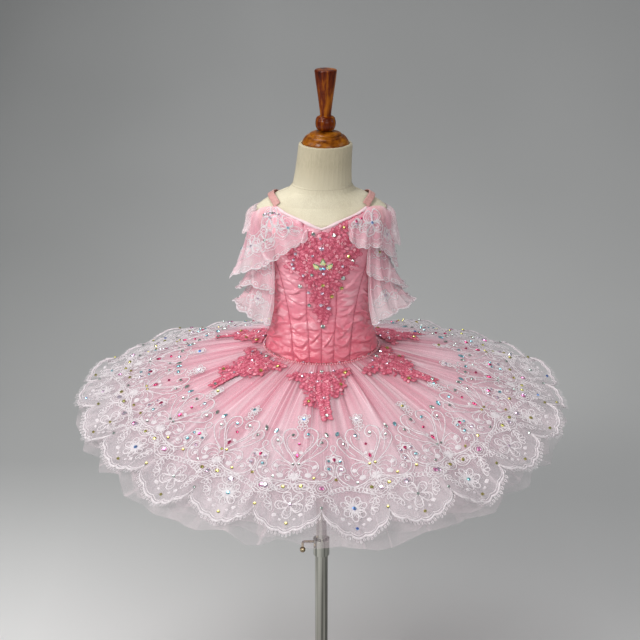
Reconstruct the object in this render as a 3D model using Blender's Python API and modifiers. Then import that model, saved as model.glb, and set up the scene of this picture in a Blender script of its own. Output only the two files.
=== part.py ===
"""A child's ballet tutu, worn by its limbless dress form on a telescopic stand.

Metres, +Z up. The front faces -Y. The origin is the middle of the base's underside.
Angles round the form run from 0 at the front, through 90 at +X, to 180 at the back.
"""
import math
from collections import namedtuple

import bmesh
import bpy
from mathutils import Vector

OBJECT_NAME = "ballet_tutu"

# ---------------------------------------------------------------- stand
BASE_RADIUS = 0.160
BASE_THICKNESS = 0.006
BASE_EDGE_ROUND = 0.0015
OUTER_TUBE_RADIUS = 0.0120
OUTER_TUBE_BORE = 0.0105
COLLAR_RADIUS = 0.0150
COLLAR_TOP = 0.405
COLLAR_HEIGHT = 0.032
COLLAR_LIP = 0.0022
INNER_TUBE_RADIUS = 0.0100
INNER_TUBE_BORE = 0.0088
INNER_TUBE_FOOT = 0.120
SOCKET_RADIUS = 0.0105
SOCKET_DEPTH = 0.050
SCREW_HEIGHT = 0.398
SCREW_RADIUS = 0.0023
SCREW_HOLE_RADIUS = 0.0029
SCREW_REACH = 0.0345
SCREW_DROP = 0.0110
SCREW_BEND = 0.0040
SCREW_CUT_LENGTH = 0.020
SCREW_BEND_STEPS = 5
BALL_RADIUS = 0.0055
FIT = 0.0003
BASE_SEGMENTS = 48
TUBE_SEGMENTS = 24

# ---------------------------------------------------------------- dress form
Section = namedtuple("Section", "z half_width front back")
FORM_SECTIONS = [
    Section(0.700, 0.0915, 0.0740, 0.0800),
    Section(0.712, 0.0980, 0.0810, 0.0870),
    Section(0.745, 0.1010, 0.0840, 0.0900),
    Section(0.775, 0.0975, 0.0820, 0.0870),
    Section(0.800, 0.0918, 0.0790, 0.0830),
    Section(0.835, 0.0838, 0.0715, 0.0720),
    Section(0.868, 0.0812, 0.0675, 0.0660),
    Section(0.900, 0.0825, 0.0715, 0.0670),
    Section(0.940, 0.0875, 0.0780, 0.0700),
    Section(0.975, 0.0945, 0.0800, 0.0720),
    Section(1.005, 0.1025, 0.0770, 0.0710),
    Section(1.025, 0.1095, 0.0700, 0.0670),
    Section(1.0385, 0.1080, 0.0590, 0.0590),
    Section(1.047, 0.0975, 0.0510, 0.0530),
    Section(1.060, 0.0760, 0.0455, 0.0480),
    Section(1.068, 0.0560, 0.0435, 0.0455),
    Section(1.078, 0.0485, 0.0425, 0.0435),
    Section(1.100, 0.0462, 0.0430, 0.0430),
    Section(1.125, 0.0447, 0.0430, 0.0430),
    Section(1.1435, 0.0443, 0.0433, 0.0433),
]
FORM_SEGMENTS = 36
NECK_RIM_TOP = 1.1455
NECK_RIM_OUTER = 0.0425
NECK_RIM_INNER = 0.0400
NECK_SEAT = 1.1420
NECK_LEAN_START = 1.0625
NECK_LEAN_END = 1.1435
NECK_LEAN = 0.0066
SHOULDER_LOW = 1.0385
SHOULDER_HIGH = 1.068

CAP_RADIUS = 0.0388
CAP_SEGMENTS = 24
HANDLE_SEGMENTS = 20
KNOB_RADIUS = 0.0167
HANDLE_NARROW = 0.0091
HANDLE_WIDE = 0.0182
CAP_TOP = 1.1655
FINIAL_TOP = 1.2665
KNOB_TOP = 1.1905

# ---------------------------------------------------------------- bodice
SATIN_WALL = 0.0015
BODY_EASE = 0.0019
TOP_EASE = 0.0025
SEAM_GAP = 0.0003
HIP_SEAM_SIDE = 0.7895
HIP_SEAM_DIP = 0.003
NECK_FRONT = 1.020
NECK_CORNER = 1.045
CORNER_ANGLE = 46.0
EdgeKnot = namedtuple("EdgeKnot", "angle z")
ARMHOLE_AND_BACK = [
    EdgeKnot(46.0, 1.045),
    EdgeKnot(54.0, 1.035),
    EdgeKnot(64.0, 1.010),
    EdgeKnot(76.0, 0.990),
    EdgeKnot(90.0, 0.984),
    EdgeKnot(104.0, 0.988),
    EdgeKnot(118.0, 1.008),
    EdgeKnot(128.0, 1.031),
    EdgeKnot(134.0, 1.038),
    EdgeKnot(145.0, 1.033),
    EdgeKnot(160.0, 1.024),
    EdgeKnot(180.0, 1.016),
]
Seam = namedtuple("Seam", "hem waist chest top")
PANEL_SEAMS = [
    Seam(0.0, 0.0, 0.0, 0.0),
    Seam(11.5, 17.0, 17.0, 15.0),
    Seam(28.5, 42.0, 54.0, 62.0),
    Seam(90.0, 90.0, 90.0, 90.0),
    Seam(152.0, 142.0, 136.0, 122.0),
    Seam(180.0, 180.0, 180.0, 180.0),
]
PANEL_NAMES = ["centre_front", "front", "side_front", "side_back", "back"]
PANEL_COLUMNS = [2, 5, 5, 5, 5]
PANEL_ROWS = 9
ROW_CROWDING = 1.6
BASQUE_DEPTH = 0.040
BINDING_HEIGHT = 0.0045
BINDING_WALL = 0.0012
STRAP_X = 0.0725
STRAP_WIDTH = 0.012
STRAP_WALL = 0.0012
STRAP_LIFT = 0.0012
STRAP_RISE = 0.0035
STRAP_SPREAD = 0.0095
STRAP_FRONT_ANGLE = 49.0
STRAP_BACK_ANGLE = 131.0
EDGING_COLUMNS = 12
SHOULDER_STEPS = 30

# ---------------------------------------------------------------- skirt
NET_WALL = 0.0012
SKIRT_OUT = 0.0048
HIP_DEPTH = 0.079
RIM_SIDE = 0.709
RIM_FRONT = 0.660
RIM_BACK = 0.677
PROFILE_SAG = 0.25
WAVE_HEIGHT = 0.0085
WAVE_GROWTH = 1.6
Wave = namedtuple("Wave", "count share phase")
BIG_WAVES = [
    Wave(5, 0.30, 0.9),
    Wave(9, 0.35, 2.1),
    Wave(14, 0.45, 0.4),
]
SCALLOPS = 24
SCALLOP_COLUMNS = 6
SCALLOP_DEPTH = 0.0260
SCALLOP_LOW = -0.0185
LACE_ROWS = 3
LACE_RADIUS = 0.4130
Layer = namedtuple("Layer", "name start drop radius ruffles ruffle phase")
LACE_LAYER = Layer("lace_overlay", 0.0015, 0.000, LACE_RADIUS, 24, 0.0065, 0.0)
NET_LAYERS = [
    Layer("net_upper", 0.0052, 0.009, 0.4120, 24, 0.0026, 0.0),
    Layer("net_middle", 0.0089, 0.019, 0.4180, 24, 0.0028, 0.9),
    Layer("net_lower", 0.0126, 0.031, 0.4260, 24, 0.0030, 2.4),
]
NET_WIDTHS = 5
NET_WIDTH_COLUMNS = 20
NET_ROWS = 2

# ---------------------------------------------------------------- sleeves
SLEEVE_WALL = 0.0012
SLEEVE_OUT = 0.0066
FLARE = 1.7
SLEEVE_ROWS = 3
WAVE_COLUMNS = 4
Station = namedtuple("Station", "top_angle top_z hem_angle hem_z hem_out")
Flounce = namedtuple("Flounce", "name side waves wave_depth scallops scallop stations")
LEFT, RIGHT = -1, 1
FLOUNCES = [
    Flounce("sleeve_left_upper", LEFT, 7, 0.0035, 14, 0.0035, [
        Station(12.0, 1.0190, 12.0, 1.006, 0.010),
        Station(26.0, 1.0290, 24.0, 0.993, 0.014),
        Station(44.0, 1.0420, 42.0, 0.972, 0.021),
        Station(60.0, 1.0410, 56.0, 0.957, 0.034),
        Station(76.0, 1.0390, 70.0, 0.948, 0.056),
        Station(90.0, 1.0380, 86.0, 0.926, 0.069),
        Station(104.0, 1.0380, 104.0, 0.931, 0.060),
        Station(120.0, 1.0390, 122.0, 0.946, 0.038),
        Station(136.0, 1.0410, 140.0, 0.968, 0.022),
    ]),
    Flounce("sleeve_left_middle", LEFT, 6, 0.0030, 10, 0.0030, [
        Station(50.0, 1.0080, 52.0, 0.906, 0.018),
        Station(62.0, 1.0080, 60.0, 0.914, 0.030),
        Station(74.0, 1.0070, 72.0, 0.919, 0.049),
        Station(86.0, 1.0060, 84.0, 0.905, 0.060),
        Station(98.0, 1.0060, 98.0, 0.897, 0.060),
        Station(110.0, 1.0070, 112.0, 0.901, 0.044),
        Station(122.0, 1.0080, 128.0, 0.906, 0.026),
    ]),
    Flounce("sleeve_left_lower", LEFT, 6, 0.0030, 10, 0.0030, [
        Station(55.0, 0.9840, 56.0, 0.843, 0.022),
        Station(66.0, 0.9840, 66.0, 0.849, 0.040),
        Station(77.0, 0.9840, 77.0, 0.858, 0.058),
        Station(88.0, 0.9840, 88.0, 0.865, 0.068),
        Station(100.0, 0.9840, 100.0, 0.862, 0.064),
        Station(112.0, 0.9840, 114.0, 0.854, 0.045),
        Station(124.0, 0.9840, 126.0, 0.846, 0.024),
    ]),
    Flounce("sleeve_right_upper", RIGHT, 7, 0.0030, 13, 0.0035, [
        Station(22.0, 1.0270, 24.0, 1.006, 0.010),
        Station(34.0, 1.0350, 34.0, 0.991, 0.015),
        Station(46.0, 1.0420, 46.0, 0.992, 0.021),
        Station(60.0, 1.0410, 60.0, 0.982, 0.025),
        Station(75.0, 1.0390, 75.0, 0.960, 0.034),
        Station(90.0, 1.0380, 90.0, 0.938, 0.042),
        Station(105.0, 1.0380, 106.0, 0.941, 0.040),
        Station(120.0, 1.0390, 122.0, 0.956, 0.028),
        Station(136.0, 1.0410, 138.0, 0.976, 0.018),
    ]),
    Flounce("sleeve_right_middle", RIGHT, 6, 0.0028, 10, 0.0030, [
        Station(48.0, 1.0060, 46.0, 0.944, 0.016),
        Station(60.0, 1.0060, 58.0, 0.932, 0.027),
        Station(74.0, 1.0060, 72.0, 0.922, 0.046),
        Station(88.0, 1.0060, 86.0, 0.903, 0.062),
        Station(100.0, 1.0060, 99.0, 0.897, 0.063),
        Station(112.0, 1.0060, 113.0, 0.904, 0.050),
        Station(124.0, 1.0060, 128.0, 0.911, 0.025),
    ]),
    Flounce("sleeve_right_lower", RIGHT, 6, 0.0028, 10, 0.0030, [
        Station(55.0, 0.9840, 56.0, 0.843, 0.021),
        Station(66.0, 0.9840, 66.0, 0.855, 0.042),
        Station(77.0, 0.9840, 77.0, 0.864, 0.064),
        Station(88.0, 0.9840, 88.0, 0.868, 0.078),
        Station(100.0, 0.9840, 100.0, 0.866, 0.074),
        Station(112.0, 0.9840, 113.0, 0.859, 0.050),
        Station(124.0, 0.9840, 126.0, 0.850, 0.024),
    ]),
]
UPPER_SLEEVE_OUT = 0.0090
FRILL_OUT = 0.0104
FRILLS = [
    Flounce("shoulder_frill_left", LEFT, 8, 0.0024, 0, 0.0, [
        Station(88.0, 1.0370, 88.0, 1.000, 0.024),
        Station(100.0, 1.0370, 101.0, 0.996, 0.026),
        Station(112.0, 1.0370, 113.0, 0.994, 0.026),
        Station(126.0, 1.0390, 127.0, 0.998, 0.024),
    ]),
    Flounce("shoulder_frill_right", RIGHT, 8, 0.0028, 0, 0.0, [
        Station(84.0, 1.0370, 84.0, 0.990, 0.027),
        Station(98.0, 1.0370, 99.0, 0.978, 0.034),
        Station(112.0, 1.0370, 113.0, 0.978, 0.034),
        Station(126.0, 1.0390, 127.0, 0.988, 0.028),
    ]),
]

# ---------------------------------------------------------------- appliques
APPLIQUE_WALL = 0.0020
Ray = namedtuple("Ray", "angle radius")
BODICE_APPLIQUE_CENTRE = (0.002, 0.955)
BODICE_APPLIQUE = [
    Ray(0.0, 0.050), Ray(18.0, 0.044), Ray(36.0, 0.056), Ray(52.0, 0.074),
    Ray(66.0, 0.050), Ray(80.0, 0.046), Ray(92.0, 0.054), Ray(106.0, 0.044),
    Ray(126.0, 0.052), Ray(148.0, 0.044), Ray(168.0, 0.050), Ray(190.0, 0.042),
    Ray(210.0, 0.048), Ray(232.0, 0.042), Ray(250.0, 0.058), Ray(262.0, 0.080),
    Ray(270.0, 0.100), Ray(278.0, 0.080), Ray(290.0, 0.056), Ray(310.0, 0.042),
    Ray(332.0, 0.048), Ray(346.0, 0.042),
]
SKIRT_APPLIQUE_RADIUS = 0.157
SKIRT_APPLIQUE_AZIMUTHS = [0.0, 60.0, 120.0, 180.0, 240.0, 300.0]
SKIRT_APPLIQUE = [
    Ray(0.0, 0.046), Ray(22.0, 0.036), Ray(45.0, 0.052), Ray(68.0, 0.034),
    Ray(90.0, 0.040), Ray(112.0, 0.034), Ray(135.0, 0.052), Ray(158.0, 0.036),
    Ray(180.0, 0.046), Ray(204.0, 0.032), Ray(228.0, 0.042), Ray(250.0, 0.040),
    Ray(262.0, 0.060), Ray(270.0, 0.076), Ray(278.0, 0.060), Ray(290.0, 0.040),
    Ray(312.0, 0.042), Ray(336.0, 0.032),
]
APPLIQUE_RINGS = 2
BODICE_APPLIQUE_LIFT = 0.0017
SKIRT_APPLIQUE_LIFT = 0.0007

Finish = namedtuple("Finish", "name colour roughness metallic")
CHROME = Finish("chrome", (0.62, 0.62, 0.60), 0.18, 1.0)
LINEN = Finish("linen", (0.76, 0.70, 0.55), 0.90, 0.0)
WOOD = Finish("varnished_wood", (0.38, 0.13, 0.04), 0.25, 0.0)
SATIN = Finish("pink_satin", (0.86, 0.32, 0.42), 0.42, 0.0)
LACE = Finish("white_lace", (0.88, 0.78, 0.80), 0.85, 0.0)
NET = Finish("pink_net", (0.86, 0.50, 0.58), 0.90, 0.0)
ROSE = Finish("rose_beadwork", (0.62, 0.10, 0.20), 0.50, 0.0)
BRAID = Finish("white_binding", (0.85, 0.80, 0.80), 0.60, 0.0)


def hermite(low, high, before, after, share):
    """Cubic value a share of the way from low to high, with the slopes of the neighbours."""
    slope_low = (high - before) * 0.5
    slope_high = (after - low) * 0.5
    square, cube = share * share, share * share * share
    return ((2 * cube - 3 * square + 1) * low + (cube - 2 * square + share) * slope_low
            + (3 * square - 2 * cube) * high + (cube - square) * slope_high)


def read_table(rows, key, value, smooth=True):
    """Row of a table, as a list of its columns, where its first column equals value."""
    keys = [getattr(row, key) for row in rows]
    value = min(max(value, keys[0]), keys[-1])
    index = max(i for i in range(len(rows) - 1) if keys[i] <= value or i == 0)
    share = (value - keys[index]) / (keys[index + 1] - keys[index])
    before, after = max(index - 1, 0), min(index + 2, len(rows) - 1)
    picked = []
    for low, high, prior, later in zip(rows[index], rows[index + 1], rows[before], rows[after]):
        if smooth:
            picked.append(hermite(low, high, prior, later, share))
        else:
            picked.append(low + (high - low) * share)
    return picked


def neck_lean(z):
    """Distance that the neck leans to the right at a height."""
    share = (z - NECK_LEAN_START) / (NECK_LEAN_END - NECK_LEAN_START)
    return NECK_LEAN * min(max(share, 0.0), 1.0)


def form_skin(z, angle):
    """Point of the dress form's skin at a height and an angle in degrees."""
    _, half_width, front, back = read_table(FORM_SECTIONS, "z", z, smooth=False)
    turn = math.radians(angle)
    depth = front if math.cos(turn) > 0 else back
    return Vector((half_width * math.sin(turn) + neck_lean(z), -depth * math.cos(turn), z))


def off_form(z, angle, out):
    """Point that stands out from the form's skin by a distance square to it."""
    step_angle, step_z = 1.0, 0.002
    across = form_skin(z, angle + step_angle) - form_skin(z, angle - step_angle)
    upward = form_skin(z + step_z, angle) - form_skin(z - step_z, angle)
    return form_skin(z, angle) + across.cross(upward).normalized() * out


def hip_seam(angle):
    """Height of the seam between the bodice and the skirt."""
    facing = max(math.cos(math.radians(angle)), 0.0)
    return HIP_SEAM_SIDE - HIP_SEAM_DIP * facing * facing


def bodice_top(angle):
    """Height of the bodice's upper edge: a shallow V, armholes and a low back."""
    turned = abs(angle)
    if turned <= CORNER_ANGLE:
        share = math.sin(math.radians(turned)) / math.sin(math.radians(CORNER_ANGLE))
        return NECK_FRONT + (NECK_CORNER - NECK_FRONT) * share
    return read_table(ARMHOLE_AND_BACK, "angle", turned)[1]


def bodice_ease(z, angle):
    """Distance from the form's skin to the bodice, which stands off more at its top edge."""
    low = hip_seam(angle)
    share = min(max((z - low) / (bodice_top(angle) - low), 0.0), 1.0)
    return BODY_EASE + TOP_EASE * share ** 4


def seam_angle(seam, share):
    """Angle of a panel seam at a share of the way from the hip seam to the top edge."""
    stops = [(0.0, seam.hem), (0.34, seam.waist), (0.68, seam.chest), (1.0, seam.top)]
    for (low, start), (high, end) in zip(stops, stops[1:]):
        if share <= high:
            return start + (end - start) * (share - low) / (high - low)
    return seam.top


def skirt_wave(bearing, layer):
    """Height of the skirt's waves at its rim; every layer shares the big ones."""
    turn = math.radians(bearing)
    height = sum(WAVE_HEIGHT * wave.share * math.cos(wave.count * turn + wave.phase)
                 for wave in BIG_WAVES)
    return height, layer.ruffle * math.cos(layer.ruffles * turn + layer.phase)


def skirt_rim(bearing, layer):
    """Radius and height of a layer's rim, without its waves."""
    turn = math.radians(bearing)
    facing = math.cos(turn)
    end = RIM_FRONT if facing > 0 else RIM_BACK
    height = RIM_SIDE + (end - RIM_SIDE) * facing * facing - layer.drop
    radius = layer.radius
    if layer is LACE_LAYER:
        place = (bearing * SCALLOPS / 360.0) % 1.0 * 2.0 - 1.0
        radius += SCALLOP_LOW + SCALLOP_DEPTH * math.sqrt(max(1.0 - place * place, 0.0))
    return radius, height


def skirt_point(layer, bearing, share):
    """Point of a skirt layer's upper face, from the hip (share 0) to its rim (share 1)."""
    turn = math.radians(bearing)
    _, half_width, front, back = read_table(FORM_SECTIONS, "z", hip_seam(bearing), smooth=False)
    depth = front if math.cos(turn) > 0 else back
    section_angle = math.degrees(math.atan2(math.sin(turn) / half_width, math.cos(turn) / depth))
    start_z = hip_seam(section_angle) - layer.start
    start = off_form(start_z, section_angle, SKIRT_OUT)
    inner = math.hypot(start.x, start.y)
    radius, rim = skirt_rim(bearing, layer)
    reach = inner + (radius - inner) * share
    down = share * (radius - inner) / (layer.radius - inner)
    fall = (start_z - rim) * ((1.0 - PROFILE_SAG) * down + PROFILE_SAG * down * down)
    wave, ruffle = skirt_wave(bearing, layer)
    lift = wave * down ** WAVE_GROWTH + ruffle * down ** 4
    return Vector((reach * math.sin(turn), -reach * math.cos(turn), start_z - fall + lift))


def flounce_point(flounce, along, down, start_out):
    """Point of a sleeve flounce, along it from front to back and down from its gathers."""
    count = len(flounce.stations) - 1
    index = min(int(along * count), count - 1)
    share = along * count - index
    before, after = max(index - 1, 0), min(index + 2, count)
    rows = (flounce.stations[index], flounce.stations[index + 1],
            flounce.stations[before], flounce.stations[after])
    top_angle, top_z, hem_angle, hem_z, hem_out = (
        hermite(low, high, prior, later, share) for low, high, prior, later in zip(*rows))
    ripple = flounce.wave_depth * math.sin(math.tau * flounce.waves * along) * down
    scallop = flounce.scallop * abs(math.sin(math.pi * flounce.scallops * along)) * down
    angle = top_angle + (hem_angle - top_angle) * down
    z = top_z + (hem_z - top_z) * down - scallop
    out = start_out + (hem_out - start_out) * down ** FLARE + ripple
    point = off_form(z, angle, out)
    point.x *= flounce.side
    return point


def make_material(finish):
    """Plain material with the part's colour, roughness and metallic value."""
    material = bpy.data.materials.get(finish.name) or bpy.data.materials.new(finish.name)
    material.use_nodes = True
    shader = material.node_tree.nodes["Principled BSDF"]
    shader.inputs["Base Color"].default_value = (*finish.colour, 1.0)
    shader.inputs["Roughness"].default_value = finish.roughness
    shader.inputs["Metallic"].default_value = finish.metallic
    return material


def make_object(name, mesh, collection, finish, smooth=True):
    """Link a mesh as a named object with its finish."""
    item = bpy.data.objects.new(name, mesh)
    collection.objects.link(item)
    mesh.materials.append(make_material(finish))
    for polygon in mesh.polygons:
        polygon.use_smooth = smooth
    return item


def grid_mesh(name, point, columns, rows, closed=False, flip=False):
    """Open surface through point(column, row) for whole-number columns and rows."""
    mesh = bpy.data.meshes.new(name)
    shape = bmesh.new()
    wide = columns if closed else columns + 1
    net = [[shape.verts.new(point(column, row)) for column in range(wide)]
           for row in range(rows + 1)]
    for lower, upper in zip(net, net[1:]):
        for column in range(columns):
            corner = (column + 1) % wide
            face = [lower[column], lower[corner], upper[corner], upper[column]]
            shape.faces.new(reversed(face) if flip else face)
    shape.to_mesh(mesh)
    shape.free()
    return mesh


def make_wall(item, wall):
    """Give an open surface a wall on the side that its normals face."""
    solidify = item.modifiers.new("wall", "SOLIDIFY")
    solidify.thickness = wall
    solidify.offset = 1.0
    return item


def make_turned(name, profile, segments, collection, finish):
    """Solid of revolution about Z from (radius, z) points listed from the top down."""
    mesh = bpy.data.meshes.new(name)
    shape = bmesh.new()
    line = [shape.verts.new((radius, 0.0, z)) for radius, z in profile]
    for start, end in zip(line, line[1:]):
        shape.edges.new((start, end))
    if profile[0][0] > 0.0 and profile[-1][0] > 0.0:
        shape.edges.new((line[-1], line[0]))
    shape.to_mesh(mesh)
    shape.free()
    item = make_object(name, mesh, collection, finish)
    screw = item.modifiers.new("turn", "SCREW")
    screw.steps = segments
    screw.render_steps = segments
    screw.use_merge_vertices = True
    screw.merge_threshold = 0.00001
    screw.use_smooth_shade = True
    return item


def make_cutter(name, radius, length, centre, axis, collection):
    """Cylinder that a Boolean modifier cuts away."""
    bpy.ops.mesh.primitive_cylinder_add(vertices=TUBE_SEGMENTS, radius=radius, depth=length,
                                        location=centre)
    cutter = bpy.context.object
    cutter.name = name
    cutter.rotation_euler = Vector((0, 0, 1)).rotation_difference(Vector(axis)).to_euler()
    for holder in list(cutter.users_collection):
        holder.objects.unlink(cutter)
    collection.objects.link(cutter)
    cutter.hide_render = True
    cutter.display_type = "WIRE"
    return cutter


def cut_with(item, cutter):
    """Cut one object out of another."""
    boolean = item.modifiers.new("cut_" + cutter.name, "BOOLEAN")
    boolean.operation = "DIFFERENCE"
    boolean.solver = "EXACT"
    boolean.object = cutter


def make_stand(parts, cutters):
    """Base plate, telescopic tubes, clamp collar and its cranked screw."""
    edge = BASE_EDGE_ROUND
    make_turned("base_plate", [
        (0.0, BASE_THICKNESS), (BASE_RADIUS - edge, BASE_THICKNESS),
        (BASE_RADIUS, BASE_THICKNESS - edge), (BASE_RADIUS, edge),
        (BASE_RADIUS - edge, 0.0), (0.0, 0.0)], BASE_SEGMENTS, parts, CHROME)
    tube_foot = BASE_THICKNESS + FIT
    tube_top = COLLAR_TOP - COLLAR_LIP - FIT
    outer = make_turned("outer_tube", [
        (OUTER_TUBE_BORE, tube_top), (OUTER_TUBE_RADIUS, tube_top),
        (OUTER_TUBE_RADIUS, tube_foot), (OUTER_TUBE_BORE, tube_foot)], TUBE_SEGMENTS, parts, CHROME)
    collar_bore = OUTER_TUBE_RADIUS + 2 * FIT
    collar = make_turned("clamp_collar", [
        (OUTER_TUBE_BORE, COLLAR_TOP), (COLLAR_RADIUS, COLLAR_TOP),
        (COLLAR_RADIUS, COLLAR_TOP - COLLAR_HEIGHT), (collar_bore, COLLAR_TOP - COLLAR_HEIGHT),
        (collar_bore, COLLAR_TOP - COLLAR_LIP), (OUTER_TUBE_BORE, COLLAR_TOP - COLLAR_LIP)],
        TUBE_SEGMENTS, parts, CHROME)
    hole = make_cutter("screw_hole", SCREW_HOLE_RADIUS, SCREW_CUT_LENGTH,
                       (-COLLAR_RADIUS, 0.0, SCREW_HEIGHT), (1, 0, 0), cutters)
    cut_with(outer, hole)
    cut_with(collar, hole)
    make_turned("inner_tube", [
        (INNER_TUBE_BORE, FORM_SECTIONS[0].z + SOCKET_DEPTH - FIT),
        (INNER_TUBE_RADIUS, FORM_SECTIONS[0].z + SOCKET_DEPTH - FIT),
        (INNER_TUBE_RADIUS, INNER_TUBE_FOOT), (INNER_TUBE_BORE, INNER_TUBE_FOOT)],
        TUBE_SEGMENTS, parts, CHROME)


def make_screw(parts):
    """Cranked rod and ball; both turn about the rod's axis."""
    pivot = bpy.data.objects.new("clamp_turn_pivot", None)
    pivot.location = (-COLLAR_RADIUS, 0.0, SCREW_HEIGHT)
    parts.objects.link(pivot)
    curve = bpy.data.curves.new("clamp_rod", "CURVE")
    curve.dimensions = "3D"
    curve.bevel_depth = SCREW_RADIUS
    curve.bevel_resolution = 2
    curve.use_fill_caps = True
    tip = COLLAR_RADIUS - INNER_TUBE_RADIUS - 2 * FIT
    crank = SCREW_REACH - COLLAR_RADIUS
    path = [(tip, 0.0, 0.0), (-crank + SCREW_BEND, 0.0, 0.0)]
    for step in range(1, SCREW_BEND_STEPS):
        turn = math.radians(90.0 * step / SCREW_BEND_STEPS)
        path.append((-crank + SCREW_BEND * (1.0 - math.sin(turn)), 0.0,
                     -SCREW_BEND * (1.0 - math.cos(turn))))
    path.append((-crank, 0.0, -SCREW_BEND))
    path.append((-crank, 0.0, -SCREW_DROP))
    line = curve.splines.new("POLY")
    line.points.add(len(path) - 1)
    for place, spot in zip(line.points, path):
        place.co = (*spot, 1.0)
    rod = bpy.data.objects.new("clamp_rod", curve)
    curve.materials.append(make_material(CHROME))
    parts.objects.link(rod)
    rod.parent = pivot
    bpy.ops.mesh.primitive_uv_sphere_add(segments=12, ring_count=8, radius=BALL_RADIUS)
    ball = bpy.context.object
    ball.name = "clamp_ball"
    for holder in list(ball.users_collection):
        holder.objects.unlink(ball)
    parts.objects.link(ball)
    ball.parent = pivot
    ball.location = (-crank, 0.0, -SCREW_DROP - BALL_RADIUS - FIT)
    ball.data.materials.append(make_material(CHROME))
    bpy.ops.object.shade_smooth()


def make_form(parts, cutters):
    """Linen-covered torso with a socket for the tube, and a turned wooden finial."""
    rings = [[form_skin(row.z, 360.0 * i / FORM_SEGMENTS) for i in range(FORM_SEGMENTS)]
             for row in FORM_SECTIONS]
    for radius, z in ((NECK_RIM_OUTER, NECK_RIM_TOP), (NECK_RIM_INNER, NECK_RIM_TOP),
                      (NECK_RIM_INNER - 2 * FIT, NECK_SEAT)):
        rings.append([Vector((radius * math.sin(math.tau * i / FORM_SEGMENTS) + NECK_LEAN,
                              -radius * math.cos(math.tau * i / FORM_SEGMENTS), z))
                      for i in range(FORM_SEGMENTS)])
    mesh = grid_mesh("dress_form", lambda column, row: rings[row][column],
                     FORM_SEGMENTS, len(rings) - 1, closed=True)
    shape = bmesh.new()
    shape.from_mesh(mesh)
    bmesh.ops.holes_fill(shape, edges=[edge for edge in shape.edges if edge.is_boundary])
    bmesh.ops.recalc_face_normals(shape, faces=shape.faces)
    shape.to_mesh(mesh)
    shape.free()
    form = make_object("dress_form", mesh, parts, LINEN)
    floor = FORM_SECTIONS[0].z
    socket = make_cutter("tube_socket", SOCKET_RADIUS, 2 * SOCKET_DEPTH, (0, 0, floor), (0, 0, 1),
                         cutters)
    cut_with(form, socket)
    seat = NECK_SEAT + FIT
    dome = [(0.0, CAP_TOP), (0.0150, CAP_TOP - 0.0005), (0.0225, CAP_TOP - 0.0030),
            (0.0262, CAP_TOP - 0.0045), (0.0268, CAP_TOP - 0.0065), (0.0300, CAP_TOP - 0.0075),
            (0.0345, CAP_TOP - 0.0110), (0.0375, CAP_TOP - 0.0155), (CAP_RADIUS, seat + 0.0030),
            (CAP_RADIUS - 0.0006, seat), (0.0, seat)]
    make_turned("neck_cap", dome, CAP_SEGMENTS, parts, WOOD).location.x = NECK_LEAN
    foot = CAP_TOP + FIT
    middle = (foot + KNOB_TOP) * 0.5
    handle = [(0.0, FINIAL_TOP), (HANDLE_WIDE - 0.0025, FINIAL_TOP - 0.0005),
              (HANDLE_WIDE, FINIAL_TOP - 0.0025), (HANDLE_WIDE * 0.90, FINIAL_TOP - 0.0180),
              (HANDLE_NARROW * 1.15, KNOB_TOP + 0.0150), (HANDLE_NARROW, KNOB_TOP),
              (KNOB_RADIUS * 0.86, KNOB_TOP - 0.0030), (KNOB_RADIUS, middle + 0.0020),
              (KNOB_RADIUS, middle - 0.0030), (KNOB_RADIUS * 0.82, foot + 0.0020),
              (KNOB_RADIUS * 0.60, foot), (0.0, foot)]
    make_turned("finial_handle", handle, HANDLE_SEGMENTS, parts, WOOD).location.x = NECK_LEAN


def make_bodice(parts):
    """Ten satin panels, the basque under the skirt, bindings and shoulder straps."""
    half_gap = math.degrees(SEAM_GAP * 0.5 / FORM_SECTIONS[6].half_width)
    for side, side_name in ((LEFT, "left"), (RIGHT, "right")):
        for index, name in enumerate(PANEL_NAMES):
            inner, outer = PANEL_SEAMS[index], PANEL_SEAMS[index + 1]
            columns = PANEL_COLUMNS[index]

            def panel_point(column, row):
                share = 1.0 - (1.0 - row / PANEL_ROWS) ** ROW_CROWDING
                start = seam_angle(inner, share) + half_gap
                end = seam_angle(outer, share) - half_gap
                angle = start + (end - start) * column / columns
                low = hip_seam(angle)
                z = low + (bodice_top(angle) - low) * share
                point = off_form(z, angle, bodice_ease(z, angle))
                point.x *= side
                return point

            title = "bodice_" + name + "_" + side_name
            mesh = grid_mesh(title, panel_point, columns, PANEL_ROWS, flip=side == LEFT)
            make_wall(make_object(title, mesh, parts, SATIN), SATIN_WALL)
    columns = FORM_SEGMENTS

    def basque_point(column, row):
        angle = 360.0 * column / columns
        angle = angle - 360.0 if angle > 180.0 else angle
        z = hip_seam(angle) - 2 * SEAM_GAP - BASQUE_DEPTH * (1 - row)
        return off_form(z, angle, BODY_EASE)

    mesh = grid_mesh("basque", basque_point, columns, 1, closed=True)
    make_wall(make_object("basque", mesh, parts, SATIN), SATIN_WALL)


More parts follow.
